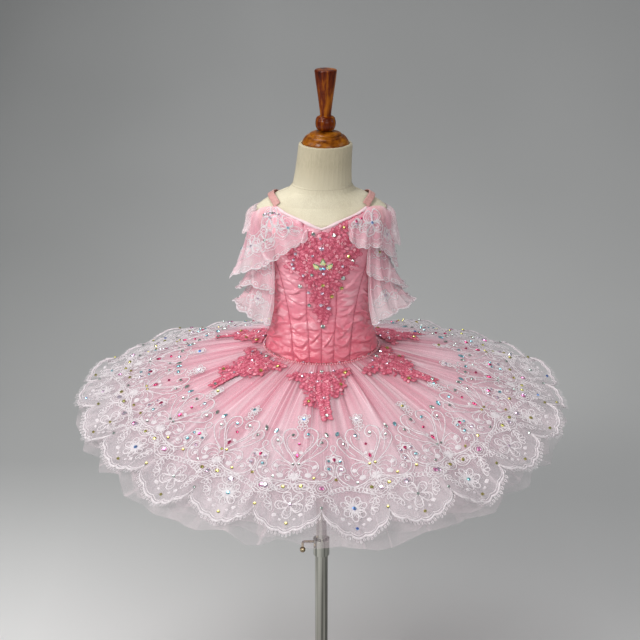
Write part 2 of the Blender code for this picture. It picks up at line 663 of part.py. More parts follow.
def make_edgings(parts):
    """White bindings over the front and back necklines, and two satin shoulder straps."""
    columns = EDGING_COLUMNS
    out = BODY_EASE + TOP_EASE + SATIN_WALL + 2 * SEAM_GAP
    for name, start, end in (("neck_binding_front", -44.0, 44.0),
                             ("neck_binding_back", 140.0, 220.0)):

        def binding_point(column, row):
            angle = start + (end - start) * column / columns
            edge = bodice_top(angle if angle <= 180.0 else angle - 360.0)
            return off_form(edge - BINDING_HEIGHT * (1 - row), angle, out)

        mesh = grid_mesh(name, binding_point, columns, 1)
        make_wall(make_object(name, mesh, parts, BRAID), BINDING_WALL)
    for side, side_name in ((LEFT, "left"), (RIGHT, "right")):

        def strap_point(column, row):
            angle = STRAP_FRONT_ANGLE + (STRAP_BACK_ANGLE - STRAP_FRONT_ANGLE) * column / columns
            over = math.sin(math.pi * column / columns)
            width = STRAP_X + STRAP_SPREAD * over + STRAP_WIDTH * (0.5 - row)
            z = shoulder_height(width / math.sin(math.radians(angle)))
            point = off_form(z, angle, STRAP_LIFT + STRAP_RISE * over)
            point.x *= side
            return point

        title = "strap_" + side_name
        mesh = grid_mesh(title, strap_point, columns, 1, flip=side == LEFT)
        make_wall(make_object(title, mesh, parts, SATIN), STRAP_WALL)


def shoulder_height(half_width):
    """Height on the shoulder slope where the form has this half width."""
    low, high = SHOULDER_LOW, SHOULDER_HIGH
    for _ in range(SHOULDER_STEPS):
        middle = (low + high) * 0.5
        if form_skin(middle, 90.0).x > half_width:
            low = middle
        else:
            high = middle
    return low


def make_skirt(parts):
    """Scalloped lace overlay over three gathered net layers, each sewn from five widths of net."""
    columns = SCALLOPS * SCALLOP_COLUMNS

    def lace_point(column, row):
        return skirt_point(LACE_LAYER, 360.0 * column / columns, row / LACE_ROWS)

    mesh = grid_mesh(LACE_LAYER.name, lace_point, columns, LACE_ROWS, closed=True)
    make_wall(make_object(LACE_LAYER.name, mesh, parts, LACE), NET_WALL)
    for layer in NET_LAYERS:
        width = 360.0 / NET_WIDTHS
        for number in range(1, NET_WIDTHS + 1):
            seam = 180.0 + width * (number - 1)

            def net_point(column, row):
                share = row / NET_ROWS
                reach = HIP_DEPTH + (layer.radius - HIP_DEPTH) * share
                half_gap = math.degrees(SEAM_GAP * 0.5 / reach)
                across = half_gap + (width - 2 * half_gap) * column / NET_WIDTH_COLUMNS
                return skirt_point(layer, seam + across, share)

            title = f"{layer.name}_{number}"
            mesh = grid_mesh(title, net_point, NET_WIDTH_COLUMNS, NET_ROWS)
            make_wall(make_object(title, mesh, parts, NET), NET_WALL)


def make_sleeves(parts):
    """Three lace flounces on each arm and a pleated net frill behind each shoulder."""
    for flounce in FLOUNCES + FRILLS:
        start_out, rows = SLEEVE_OUT, SLEEVE_ROWS
        if flounce in FRILLS:
            start_out, rows = FRILL_OUT, 1
        elif flounce.name.endswith("upper"):
            start_out = UPPER_SLEEVE_OUT
        columns = flounce.waves * WAVE_COLUMNS
        mesh = grid_mesh(
            flounce.name,
            lambda column, row: flounce_point(flounce, column / columns, 1 - row / rows, start_out),
            columns, rows, flip=flounce.side == LEFT)
        make_wall(make_object(flounce.name, mesh, parts, LACE), SLEEVE_WALL)


def applique_mesh(name, rays, place):
    """Lobed flat piece laid on a surface by place(across, up), both in metres."""
    mesh = bpy.data.meshes.new(name)
    shape = bmesh.new()
    centre = shape.verts.new(place(0.0, 0.0))
    rings = []
    for ring in range(1, APPLIQUE_RINGS + 1):
        share = ring / APPLIQUE_RINGS
        rings.append([shape.verts.new(place(
            ray.radius * share * math.cos(math.radians(ray.angle)),
            ray.radius * share * math.sin(math.radians(ray.angle)))) for ray in rays])
    count = len(rays)
    for index in range(count):
        after = (index + 1) % count
        shape.faces.new((centre, rings[0][index], rings[0][after]))
        for inner, outer in zip(rings, rings[1:]):
            shape.faces.new((inner[index], outer[index], outer[after], inner[after]))
    shape.to_mesh(mesh)
    shape.free()
    return mesh


def make_appliques(parts):
    """Rose beadwork down the centre front and at six places round the skirt."""
    centre_x, centre_z = BODICE_APPLIQUE_CENTRE

    def on_bodice(across, up):
        z = centre_z + up
        width = read_table(FORM_SECTIONS, "z", z, smooth=False)[1]
        angle = math.degrees(math.asin((centre_x + across) / width))
        return off_form(z, angle, bodice_ease(z, angle) + SATIN_WALL + BODICE_APPLIQUE_LIFT)

    mesh = applique_mesh("applique_bodice", BODICE_APPLIQUE, on_bodice)
    make_wall(make_object("applique_bodice", mesh, parts, ROSE), APPLIQUE_WALL)
    for number, azimuth in enumerate(SKIRT_APPLIQUE_AZIMUTHS, start=1):

        def on_skirt(across, up):
            reach = SKIRT_APPLIQUE_RADIUS - up
            bearing = azimuth + math.degrees(math.atan2(across, reach))
            bearing = (bearing + 180.0) % 360.0 - 180.0
            distance = math.hypot(across, reach)
            start = skirt_point(LACE_LAYER, bearing, 0.0)
            inner = math.hypot(start.x, start.y)
            rim = skirt_rim(bearing, LACE_LAYER)[0]
            spot = skirt_point(LACE_LAYER, bearing, (distance - inner) / (rim - inner))
            return spot + Vector((0.0, 0.0, SKIRT_APPLIQUE_LIFT))

        title = f"applique_skirt_{number}"
        mesh = applique_mesh(title, SKIRT_APPLIQUE, on_skirt)
        make_wall(make_object(title, mesh, parts, ROSE), APPLIQUE_WALL)


def new_collection(name):
    """Collection linked to the scene."""
    collection = bpy.data.collections.new(name)
    bpy.context.scene.collection.children.link(collection)
    return collection


def main():
    """Build every part."""
    for item in list(bpy.data.objects):
        bpy.data.objects.remove(item)
    parts = new_collection(OBJECT_NAME)
    cutters = new_collection("cutters")
    make_stand(parts, cutters)
    make_screw(parts)
    make_form(parts, cutters)
    make_bodice(parts)
    make_edgings(parts)
    make_skirt(parts)
    make_sleeves(parts)
    make_appliques(parts)


main()
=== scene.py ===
"""Looks of a child's ballet tutu on its limbless dress form.

Metres, +Z up, the front faces -Y. Angles round the form are in degrees: 0 at the front,
90 at +X and 180 at the back. Every cloth piece is a thin shell on the form of its solid.
"""

import logging  # noqa: E402
import math  # noqa: E402
from dataclasses import dataclass  # noqa: E402
from enum import Enum  # noqa: E402
from typing import Callable, Iterable, NamedTuple, Optional, Sequence, Union  # noqa: E402

import bpy  # noqa: E402
import numpy as np  # noqa: E402
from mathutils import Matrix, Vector  # noqa: E402


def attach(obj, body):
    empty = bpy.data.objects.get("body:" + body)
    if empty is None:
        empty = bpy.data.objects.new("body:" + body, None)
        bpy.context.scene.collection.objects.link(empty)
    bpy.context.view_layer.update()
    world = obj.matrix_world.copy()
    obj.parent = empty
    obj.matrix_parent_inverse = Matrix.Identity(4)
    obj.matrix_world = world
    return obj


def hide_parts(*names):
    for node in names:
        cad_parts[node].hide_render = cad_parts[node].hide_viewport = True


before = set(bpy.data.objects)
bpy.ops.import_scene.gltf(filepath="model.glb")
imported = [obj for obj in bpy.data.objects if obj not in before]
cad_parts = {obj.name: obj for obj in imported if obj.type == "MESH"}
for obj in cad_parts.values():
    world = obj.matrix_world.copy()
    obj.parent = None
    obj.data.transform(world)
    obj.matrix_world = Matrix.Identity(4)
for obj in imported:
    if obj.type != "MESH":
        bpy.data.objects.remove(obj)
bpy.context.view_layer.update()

Array = np.ndarray
Colour = tuple[float, float, float]
Socket = bpy.types.NodeSocket
Value = Union[float, int, Colour, Socket]
LOG = logging.getLogger("tutu")
FORM_BODY = "form"
LEFT, RIGHT = -1, 1
SIDE_NAMES = {LEFT: "left", RIGHT: "right"}


class Slot(Enum):
    """The record's material slots."""

    LINEN = "linen"
    WOOD = "varnished_wood"
    SATIN = "pink_satin"
    BINDING = "white_binding"
    LACE = "white_lace"
    NET = "pink_net"
    ROSE = "rose_beadwork"


def table(kind: Callable, *lines: Sequence) -> tuple:
    """Table of one kind, with the columns of each row in order."""
    return tuple(kind(*line) for line in lines)


# ------------------------------------------------------------------ shader desk
class Desk:
    """One material on the bench, with the nodes that its finish is mixed from."""

    def __init__(self, name: str) -> None:
        """Start an empty material.

        Args:
            name: the material's name.
        """
        self.material = bpy.data.materials.new(name)
        self.material.use_nodes = True
        self.tree = self.material.node_tree
        self.shader = self.tree.nodes["Principled BSDF"]
        self.where = self.tree.nodes.new("ShaderNodeTexCoord").outputs
        self.place = self.where["Object"]

    def put(self, socket: Socket, value: Value) -> None:
        """Set a socket to a constant, or link another node's output into it.

        Args:
            socket: the input to fill.
            value: a number, a colour, or an output.
        """
        if isinstance(value, bpy.types.NodeSocket):
            self.tree.links.new(value, socket)
        elif isinstance(value, tuple) and len(socket.default_value) == 4:
            socket.default_value = (*value, 1.0)
        else:
            socket.default_value = value

    def base(self, **settings: Value) -> None:
        """Fill inputs of the main shader, named with underscores for spaces."""
        for name, value in settings.items():
            self.put(self.shader.inputs[name.replace("_", " ")], value)

    def node(self, kind: str, output: Union[str, int], inputs: dict[Union[str, int], Value],
             **settings: str) -> Socket:
        """Add a node.

        Args:
            kind: its type.
            output: the output that is wanted.
            inputs: its inputs, by name or number.
            settings: its own settings.

        Returns:
            The output.
        """
        node = self.tree.nodes.new("ShaderNode" + kind)
        for name, setting in settings.items():
            setattr(node, name, setting)
        for name, value in inputs.items():
            self.put(node.inputs[name], value)
        return node.outputs[output]

    def stretched(self, scale: Sequence[float], source: str = "Object", shift: float = 0.0) -> Socket:
        """Texture place, stretched along its axes, and shifted so that two cloths differ."""
        return self.node("Mapping", "Vector", {"Vector": self.where[source], "Scale": tuple(scale),
                                               "Location": (shift, shift, shift)})

    def noise(self, place: Socket, scale: float, detail: float = 2.0, rough: float = 0.5) -> Socket:
        """Soft cloudy value near 0.5, with a number of finer octaves and their strength."""
        return self.node("TexNoise", "Fac", {"Vector": place, "Scale": scale, "Detail": detail,
                                             "Roughness": rough})

    def cells(self, place: Socket, scale: float) -> Socket:
        """Distance to a cell's edge, at so many cells a metre."""
        return self.node("TexVoronoi", "Distance", {"Vector": place, "Scale": scale},
                         feature="DISTANCE_TO_EDGE")

    def bands(self, place: Socket, scale: float, axis: str, wander: float) -> Socket:
        """Even soft bands from 0 to 1, such as threads, that cross an axis and wander a little."""
        return self.node("TexWave", "Fac", {"Vector": place, "Scale": scale, "Distortion": wander},
                         bands_direction=axis)

    def ramp(self, factor: Socket, stops: Iterable[tuple[float, Colour]]) -> Socket:
        """Colour that runs through several stops.

        Args:
            factor: place along the run.
            stops: place and colour of each stop.

        Returns:
            The colour.
        """
        node = self.tree.nodes.new("ShaderNodeValToRGB")
        self.tree.links.new(factor, node.inputs["Fac"])
        rows = list(stops)
        while len(node.color_ramp.elements) < len(rows):
            node.color_ramp.elements.new(0.5)
        for element, (place, colour) in zip(node.color_ramp.elements, rows):
            element.position = place
            element.color = (*colour, 1.0)
        return node.outputs["Color"]

    def mix(self, factor: Value, first: Value, second: Value) -> Socket:
        """Blend of two colours, by the share of the second."""
        return self.node("Mix", 2, {0: factor, 6: first, 7: second}, data_type="RGBA")

    def calc(self, step: str, first: Value, second: Value = 0.0) -> Socket:
        """One sum on values, by its name."""
        return self.node("Math", "Value", {0: first, 1: second}, operation=step)

    def times(self, first: Value, second: Value) -> Socket:
        """Product of two values."""
        return self.calc("MULTIPLY", first, second)

    def plus(self, first: Value, second: Value) -> Socket:
        """Sum of two values."""
        return self.calc("ADD", first, second)

    def ridge(self, value: Socket, width: float, middle: float, edge: float) -> Socket:
        """Value where a cloud crosses 0.5, and at its edges."""
        away = self.calc("ABSOLUTE", self.calc("SUBTRACT", value, 0.5))
        return self.spread(away, 0.0, width, middle, edge)

    def spread(self, value: Socket, low: float, high: float, to_low: float, to_high: float) -> Socket:
        """Value moved from one range to another and kept inside it."""
        return self.node("MapRange", "Result", {"Value": value, "From Min": low, "From Max": high,
                                                "To Min": to_low, "To Max": to_high})

    def part(self, place: Socket, axis: str) -> Socket:
        """One axis of a texture place."""
        return self.node("SeparateXYZ", axis, {0: place})

    def relief(self, height: Socket, strength: float, distance: float) -> None:
        """Fine surface relief on the main shader, to a depth in metres."""
        self.base(Normal=self.node("Bump", "Normal", {"Height": height, "Strength": strength,
                                                      "Distance": distance}))


# ------------------------------------------------------------------ finishes
@dataclass(frozen=True)
class SatinFinish:
    """Duchess satin, paler at the neckline and coral towards the hip, with painted highlights beside its
    crumpled creases, stronger up the bodice.
    """

    name: str = "satin"
    top: Colour = (0.82, 0.38, 0.46)
    middle: Colour = (0.82, 0.26, 0.34)
    bottom: Colour = (0.8, 0.13, 0.2)
    low_z: float = 0.79
    high_z: float = 1.03
    roughness: float = 0.16

    def material(self) -> bpy.types.Material:
        """Mix the finish."""
        desk = Desk(self.name)
        height = desk.part(desk.place, "Z")
        share = desk.spread(height, self.low_z, self.high_z, 0.0, 1.0)
        shade = desk.ramp(share, [(0.0, self.bottom), (0.45, self.middle), (1.0, self.top)])
        cloud = desk.noise(desk.stretched((1.0, 1.0, 0.5)), 42.0, 3.0)
        tone_and_painted_light = desk.mix(desk.spread(cloud, 0.35, 0.75, 0.0, 0.22), shade, (0.95, 0.55, 0.62))
        threads = desk.bands(desk.stretched((1.0, 1.0, 1.0)), 760.0, "Z", 0.6)
        slubs = desk.noise(desk.stretched((30.0, 30.0, 260.0)), 12.0, 2.0)
        soft = desk.noise(desk.stretched((26.0, 26.0, 62.0)), 1.0, 1.6, 0.5)
        crumple = desk.ridge(soft, 0.16, 0.0, 1.0)
        # painted highlight: paler pink where the crumple cloud rises past its creases, stronger above z
        # 0.82
        painted_highlight = desk.times(desk.spread(soft, 0.55, 0.66, 0.0, 0.55),
                          desk.spread(height, 0.82, 0.9, 0.35, 1.0))
        tone_and_painted_light = desk.mix(painted_highlight, tone_and_painted_light, (0.95, 0.62, 0.68))
        desk.base(Base_Color=tone_and_painted_light, Anisotropic=0.55, Sheen_Weight=0.12, Sheen_Roughness=0.4,
                  Specular_IOR_Level=0.85, Roughness=desk.spread(
                      slubs, 0.3, 0.7, self.roughness - 0.05, self.roughness + 0.1))
        grain = desk.plus(desk.times(threads, 0.02), desk.times(slubs, 0.05))
        desk.relief(desk.plus(grain, crumple), 0.62, 0.0034)
        return desk.material


@dataclass(frozen=True)
class NetFinish:
    """Gathered soft net, rosy at the waist and nearly clear at its edge.

    Its texture place is (turn, share): once round the skirt, and from the hip to the rim.
    """

    name: str
    waist: Colour = (0.8, 0.17, 0.28)
    middle: Colour = (0.84, 0.36, 0.46)
    pale: Colour = (0.74, 0.46, 0.54)
    edge: Colour = (0.56, 0.5, 0.53)
    streak: Colour = (0.93, 0.76, 0.81)
    waist_cover: float = 0.95
    middle_cover: float = 0.72
    pale_cover: float = 0.42
    edge_cover: float = 0.18
    gathers: float = 150.0
    seed: float = 0.0

    def material(self) -> bpy.types.Material:
        """Mix the finish."""
        desk = Desk(self.name)
        share = desk.part(desk.where["UV"], "Y")
        zones = (0.0, 0.45, 0.74, 0.9, 1.0)
        shade = desk.ramp(share, zip(zones, (self.waist, self.middle, self.pale, self.edge, self.edge)))
        fine, broad, sharp = (
            desk.noise(desk.stretched((self.gathers * close, long, 1.0), "UV", self.seed + shift),
                       1.0, detail, rough)
            for close, long, shift, detail, rough in (
                (0.7, 0.9, 0.0, 3.0, 0.55), (0.2, 0.7, 0.0, 2.0, 0.5), (0.3, 0.5, 3.7, 1.0, 0.5)))
        line = desk.ridge(sharp, 0.018, 1.0, 0.0)
        folds = desk.plus(desk.times(fine, 0.45), desk.times(broad, 0.55))
        white = desk.calc("MAXIMUM", desk.spread(folds, 0.44, 0.62, 0.0, 0.88),
                          desk.times(line, 0.8))
        desk.base(Base_Color=desk.mix(white, shade, self.streak), Roughness=0.75,
                  Sheen_Weight=0.25, Sheen_Roughness=0.5, Specular_IOR_Level=0.2)
        covers = (self.waist_cover, self.middle_cover, self.pale_cover, self.edge_cover, self.edge_cover)
        cover = desk.ramp(share, [(zone, (amount,) * 3) for zone, amount in zip(zones, covers)])
        thick = desk.times(cover, desk.spread(folds, 0.3, 0.7, 0.66, 1.36))
        thick = desk.plus(thick, desk.times(line, desk.times(cover, 0.5)))
        mesh = desk.cells(desk.stretched((1.0, 1.0, 1.0)), 620.0)
        holes = desk.spread(mesh, 0.03, 0.16, 1.18, 0.86)
        desk.base(Alpha=desk.calc("MINIMUM", desk.times(thick, holes), 1.0))
        desk.relief(fine, 0.25, 0.002)
        return desk.material


@dataclass(frozen=True)
class ThreadFinish:
    """Twisted embroidery thread."""

    name: str
    colour: Colour
    shade: Colour
    roughness: float = 0.5
    sheen: float = 0.3

    def material(self) -> bpy.types.Material:
        """Mix the finish."""
        desk = Desk(self.name)
        place = desk.place
        cloud = desk.noise(place, 260.0, 2.0)
        twist = desk.noise(place, 1500.0, 1.0)
        desk.base(Base_Color=desk.mix(desk.spread(cloud, 0.3, 0.7, 0.0, 1.0), self.shade, self.colour),
                  Roughness=desk.spread(twist, 0.3, 0.7, self.roughness - 0.1, self.roughness + 0.1),
                  Sheen_Weight=self.sheen, Specular_IOR_Level=0.45)
        desk.relief(twist, 0.5, 0.0006)
        return desk.material


@dataclass(frozen=True)
class StoneFinish:
    """Foiled cut glass, with a play of colours where its coating has one."""

    name: str
    colour: Colour
    play: Optional[Colour] = None
    roughness: float = 0.08

    def material(self) -> bpy.types.Material:
        """Mix the finish."""
        desk = Desk(self.name)
        place = desk.place
        spark = desk.noise(place, 420.0, 2.0)
        other = self.play or tuple(0.55 * part for part in self.colour)
        desk.base(Base_Color=desk.mix(desk.spread(spark, 0.4, 0.6, 0.0, 1.0), self.colour, other),
                  Roughness=desk.spread(spark, 0.3, 0.7, self.roughness, self.roughness + 0.08),
                  Metallic=0.75, Coat_Weight=0.6)
        return desk.material


class StoneTint(Enum):
    """Finishes of the beads and stones, in material order."""

    CLEAR = StoneFinish("clear_stone", (0.86, 0.88, 0.95), (0.8, 0.55, 0.75))
    GOLD = StoneFinish("gold_stone", (0.72, 0.56, 0.16), (0.42, 0.46, 0.12))
    MAGENTA = StoneFinish("magenta_stone", (0.85, 0.1, 0.45), (0.95, 0.65, 0.85))
    RUBY = StoneFinish("ruby_stone", (0.62, 0.02, 0.16), (0.85, 0.1, 0.26))
    SAPPHIRE = StoneFinish("sapphire_stone", (0.08, 0.18, 0.75), (0.35, 0.6, 0.95))
    AQUA = StoneFinish("aqua_stone", (0.16, 0.48, 0.58), (0.5, 0.85, 0.92))
    SMOKE = StoneFinish("smoke_stone", (0.34, 0.4, 0.38), (0.62, 0.72, 0.66))
    CITRINE = StoneFinish("citrine_stone", (0.9, 0.86, 0.3), (0.62, 0.92, 0.72))
    ROSE_BEAD = StoneFinish("rose_bead", (0.74, 0.1, 0.22), (0.92, 0.4, 0.48), 0.2)
    PEARL = StoneFinish("pearl_bead", (0.92, 0.84, 0.84), (0.98, 0.94, 0.94), 0.25)
    JET = StoneFinish("jet_bead", (0.05, 0.04, 0.05), (0.22, 0.2, 0.22), 0.15)


@dataclass(frozen=True)
class AppliqueFinish:
    """Rose net of the appliques."""

    name: str = "applique_net"
    dark: Colour = (0.5, 0.06, 0.13)
    middle: Colour = (0.7, 0.17, 0.26)
    light: Colour = (0.86, 0.42, 0.5)

    def material(self) -> bpy.types.Material:
        """Mix the finish."""
        desk = Desk(self.name)
        cells = desk.cells(desk.place, 420.0)
        cloud = desk.noise(desk.place, 240.0, 3.0)
        desk.base(Base_Color=desk.ramp(cloud, [(0.35, self.dark), (0.5, self.middle), (0.68, self.light)]),
                  Roughness=desk.spread(cells, 0.0, 0.2, 0.35, 0.7), Specular_IOR_Level=0.5,
                  Alpha=desk.spread(desk.plus(cells, desk.times(cloud, 0.3)), 0.16, 0.36, 0.92, 0.1))
        desk.relief(cells, 0.5, 0.001)
        return desk.material


@dataclass(frozen=True)
class LinenFinish:
    """Tightly woven cream linen over the torso, a little soiled, with painted shade that darkens the neck.
    """

    name: str = "linen"
    pale: Colour = (0.74, 0.685, 0.53)
    dark: Colour = (0.56, 0.5, 0.36)
    # painted shade: darker linen colour laid on the neck
    neck: Colour = (0.34, 0.295, 0.195)

    def material(self) -> bpy.types.Material:
        """Mix the finish."""
        desk = Desk(self.name)
        place = desk.place
        warp, weft = (desk.bands(place, 420.0, axis, 1.2) for axis in "XZ")
        threads = desk.calc("MAXIMUM", warp, weft)
        slubs = desk.noise(desk.stretched((60.0, 60.0, 9.0)), 14.0, 3.0)
        soil = desk.noise(place, 16.0, 3.0)
        tone = desk.plus(desk.times(slubs, 0.6), desk.times(soil, 0.5))
        # painted shade: the linen darkens up the neck from z 1.062 to 1.115
        neck = desk.spread(desk.part(place, "Z"), 1.062, 1.115, 0.0, 0.8)
        tone_and_painted_light = desk.mix(neck, self.pale, self.neck)
        desk.base(Base_Color=desk.mix(desk.spread(tone, 0.4, 0.72, 0.0, 0.75), tone_and_painted_light, self.dark),
                  Roughness=desk.spread(slubs, 0.3, 0.7, 0.8, 0.95), Sheen_Weight=0.1,
                  Specular_IOR_Level=0.25)
        desk.relief(threads, 0.18, 0.0005)
        return desk.material


@dataclass(frozen=True)
class VarnishFinish:
    """Turned hardwood under glossy orange-brown varnish."""

    name: str = "varnished_wood"
    light: Colour = (0.38, 0.135, 0.008)
    middle: Colour = (0.24, 0.07, 0.004)
    dark: Colour = (0.075, 0.015, 0.001)
    streaks: tuple[float, float, float] = (30.0, 30.0, 70.0)

    def material(self) -> bpy.types.Material:
        """Mix the finish."""
        desk = Desk(self.name)
        grain = desk.noise(desk.stretched(tuple(2.6 * part for part in self.streaks)), 1.6, 4.0, 0.65)
        figure = desk.noise(desk.stretched(self.streaks), 1.5, 2.0)
        tone = desk.plus(desk.times(grain, 0.45), desk.times(figure, 0.6))
        colour = desk.ramp(tone, [(0.38, self.light), (0.52, self.middle), (0.66, self.dark)])
        wear = desk.noise(desk.place, 60.0, 2.0)
        desk.base(Base_Color=colour, Roughness=desk.spread(wear, 0.3, 0.7, 0.26, 0.38),
                  Specular_IOR_Level=0.1, Coat_Weight=0.15, Coat_Roughness=0.1)
        desk.relief(grain, 0.05, 0.0006)
        return desk.material


@dataclass(frozen=True)
class ChromeFinish:
    """Plated steel with faint fingermarks and brushing, and near-black upright streaks of painted
    reflection.
    """

    name: str
    colour: Colour = (0.5, 0.5, 0.45)
    smooth: float = 0.05
    dull: float = 0.1
    # share of near-black painted reflection streaks in the colour
    lines: float = 0.8

    def material(self) -> bpy.types.Material:
        """Mix the finish."""
        desk = Desk(self.name)
        marks = desk.noise(desk.place, 34.0, 4.0, 0.6)
        brushed = desk.noise(desk.stretched((900.0, 900.0, 14.0)), 1.0, 2.0)
        # painted reflection: near-black upright streaks mixed into the steel colour
        painted_reflection_streaks = desk.noise(desk.stretched((150.0, 150.0, 1.6)), 1.0, 1.5)
        steel = desk.mix(desk.spread(painted_reflection_streaks, 0.46, 0.62, 0.0, self.lines), self.colour, (0.1, 0.105, 0.09))
        desk.base(Base_Color=desk.mix(desk.spread(marks, 0.4, 0.7, 0.0, 0.14), steel,
                                      (0.42, 0.4, 0.37)),
                  Metallic=1.0, Roughness=desk.spread(marks, 0.35, 0.7, self.smooth, self.dull))
        desk.relief(brushed, 0.04, 0.0003)
        return desk.material


# ------------------------------------------------------------------ mesh book
def smooth_table(keys: Sequence[float], values: Sequence[float], at: Array) -> Array:
    """Read a short table smoothly, as a cubic between its rows.

    Args:
        keys: rising keys.
        values: value at each key.
        at: where to read.

    Returns:
        The value at each place.
    """
    keys_, values_ = np.asarray(keys, float), np.asarray(values, float)
    at = np.clip(np.asarray(at, float), keys_[0], keys_[-1])
    index = np.clip(np.searchsorted(keys_, at, side="right") - 1, 0, len(keys_) - 2)
    share = (at - keys_[index]) / (keys_[index + 1] - keys_[index])
    low, high = values_[index], values_[index + 1]
    rise_low = (high - values_[np.maximum(index - 1, 0)]) * 0.5
    rise_high = (values_[np.minimum(index + 2, len(keys_) - 1)] - low) * 0.5
    square, cube = share ** 2, share ** 3
    return ((2 * cube - 3 * square + 1) * low + (cube - 2 * square + share) * rise_low
            + (3 * square - 2 * cube) * high + (cube - square) * rise_high)


def length_of(line: Array) -> float:
    """Length of a line of points."""
    return float(np.linalg.norm(np.diff(line, axis=0), axis=1).sum())


def unit(vectors: Array) -> Array:
    """Vectors scaled to length 1."""
    return vectors / np.maximum(np.linalg.norm(vectors, axis=-1, keepdims=True), 1e-12)


class MeshBook:
    """Points and faces gathered for one piece."""

    def __init__(self) -> None:
        """Start with nothing."""
        self.points: list[Array] = []
        self.faces: list[tuple[int, ...]] = []
        self.tints: list[int] = []
        self.count = 0

    def add(self, points: Array, faces: Iterable[Sequence[int]], tint: int = 0) -> None:
        """Add a patch.

        Args:
            points: (N, 3) points.
            faces: faces that count from the patch's first point.
            tint: index of the patch's material.
        """
        points = np.asarray(points, float).reshape(-1, 3)
        self.points.append(points)
        start = self.count
        before = len(self.faces)
        self.faces.extend(tuple(int(corner) + start for corner in face) for face in faces)
        self.tints.extend([tint] * (len(self.faces) - before))
        self.count += len(points)

    def finish(self, name: str, materials: Sequence[bpy.types.Material], smooth: bool = True,
               places: Optional[Array] = None) -> bpy.types.Object:
        """Make the object.

        Args:
            name: the piece's name.
            materials: its materials, in tint order.
            smooth: shade it smooth.
            places: texture place of each point.

        Returns:
            The linked object.
        """
        mesh = bpy.data.meshes.new(name)
        mesh.from_pydata(np.concatenate(self.points).tolist(), [], self.faces)
        for material in materials:
            mesh.materials.append(material)
        mesh.polygons.foreach_set("material_index", self.tints)
        mesh.polygons.foreach_set("use_smooth", [smooth] * len(mesh.polygons))
        if places is not None:
            corners = np.empty(len(mesh.loops), dtype=np.int32)
            mesh.loops.foreach_get("vertex_index", corners)
            layer = mesh.uv_layers.new(name="place")
            layer.data.foreach_set("uv", np.asarray(places, float)[corners].ravel())
        mesh.update()
        item = bpy.data.objects.new(name, mesh)
        bpy.context.scene.collection.objects.link(item)
        return item


def grid_faces(rows: int, columns: int, closed: bool = False, flip: bool = False) -> list[tuple[int, ...]]:
    """Faces of a grid of points laid row by row.

    Args:
        rows: rows of points.
        columns: points in a row.
        closed: join the last column to the first.
        flip: turn the faces over.

    Returns:
        The faces.
    """
    wide = columns if closed else columns - 1
    faces = []
    for row in range(rows - 1):
        for column in range(wide):
            after = (column + 1) % columns
            face = (row * columns + column, row * columns + after,
                    (row + 1) * columns + after, (row + 1) * columns + column)
            faces.append(face[::-1] if flip else face)
    return faces


def area_of(item: bpy.types.Object) -> float:
    """Area of a piece's faces in square metres."""
    return float(sum(polygon.area for polygon in item.data.polygons))


def settle(item: bpy.types.Object, replaced: Sequence[str] = (),
           body: str = FORM_BODY) -> bpy.types.Object:
    """Put a piece on its body and hide the CAD nodes that it stands for.

    Args:
        item: the piece.
        replaced: CAD nodes that it stands for.
        body: body that it rides on.

    Returns:
        The piece.
    """
    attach(item, body)
    if replaced:
        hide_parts(*replaced)
    LOG.info("%s: %d faces, %.4f m2", item.name, len(item.data.polygons), area_of(item))
    return item


def lay(name: str, points: Array, material: bpy.types.Material, replaced: Sequence[str] = (),
        places: Sequence[Array] = (), closed: bool = False, flip: bool = False) -> bpy.types.Object:
    """Make a piece from one grid of points.

    Args:
        name: the piece's name.
        points: (rows, columns, 3) points.
        material: its finish.
        replaced: CAD nodes that it stands for.
        places: texture place of each point, on two axes.
        closed: join the last column to the first.
        flip: turn the faces over.

    Returns:
        The piece.
    """
    book = MeshBook()
    book.add(points, grid_faces(*points.shape[:2], closed, flip))
    spots = np.stack(places, axis=-1).reshape(-1, 2) if len(places) else None
    return settle(book.finish(name, [material], places=spots), replaced)


# ------------------------------------------------------------------ shapes
class Section(NamedTuple):
    """Half width and depths of the form at a height."""

    z: float
    half_width: float
    front: float
    back: float


class EdgeKnot(NamedTuple):
    """Height of the bodice's upper edge at an angle."""

    angle: float
    z: float


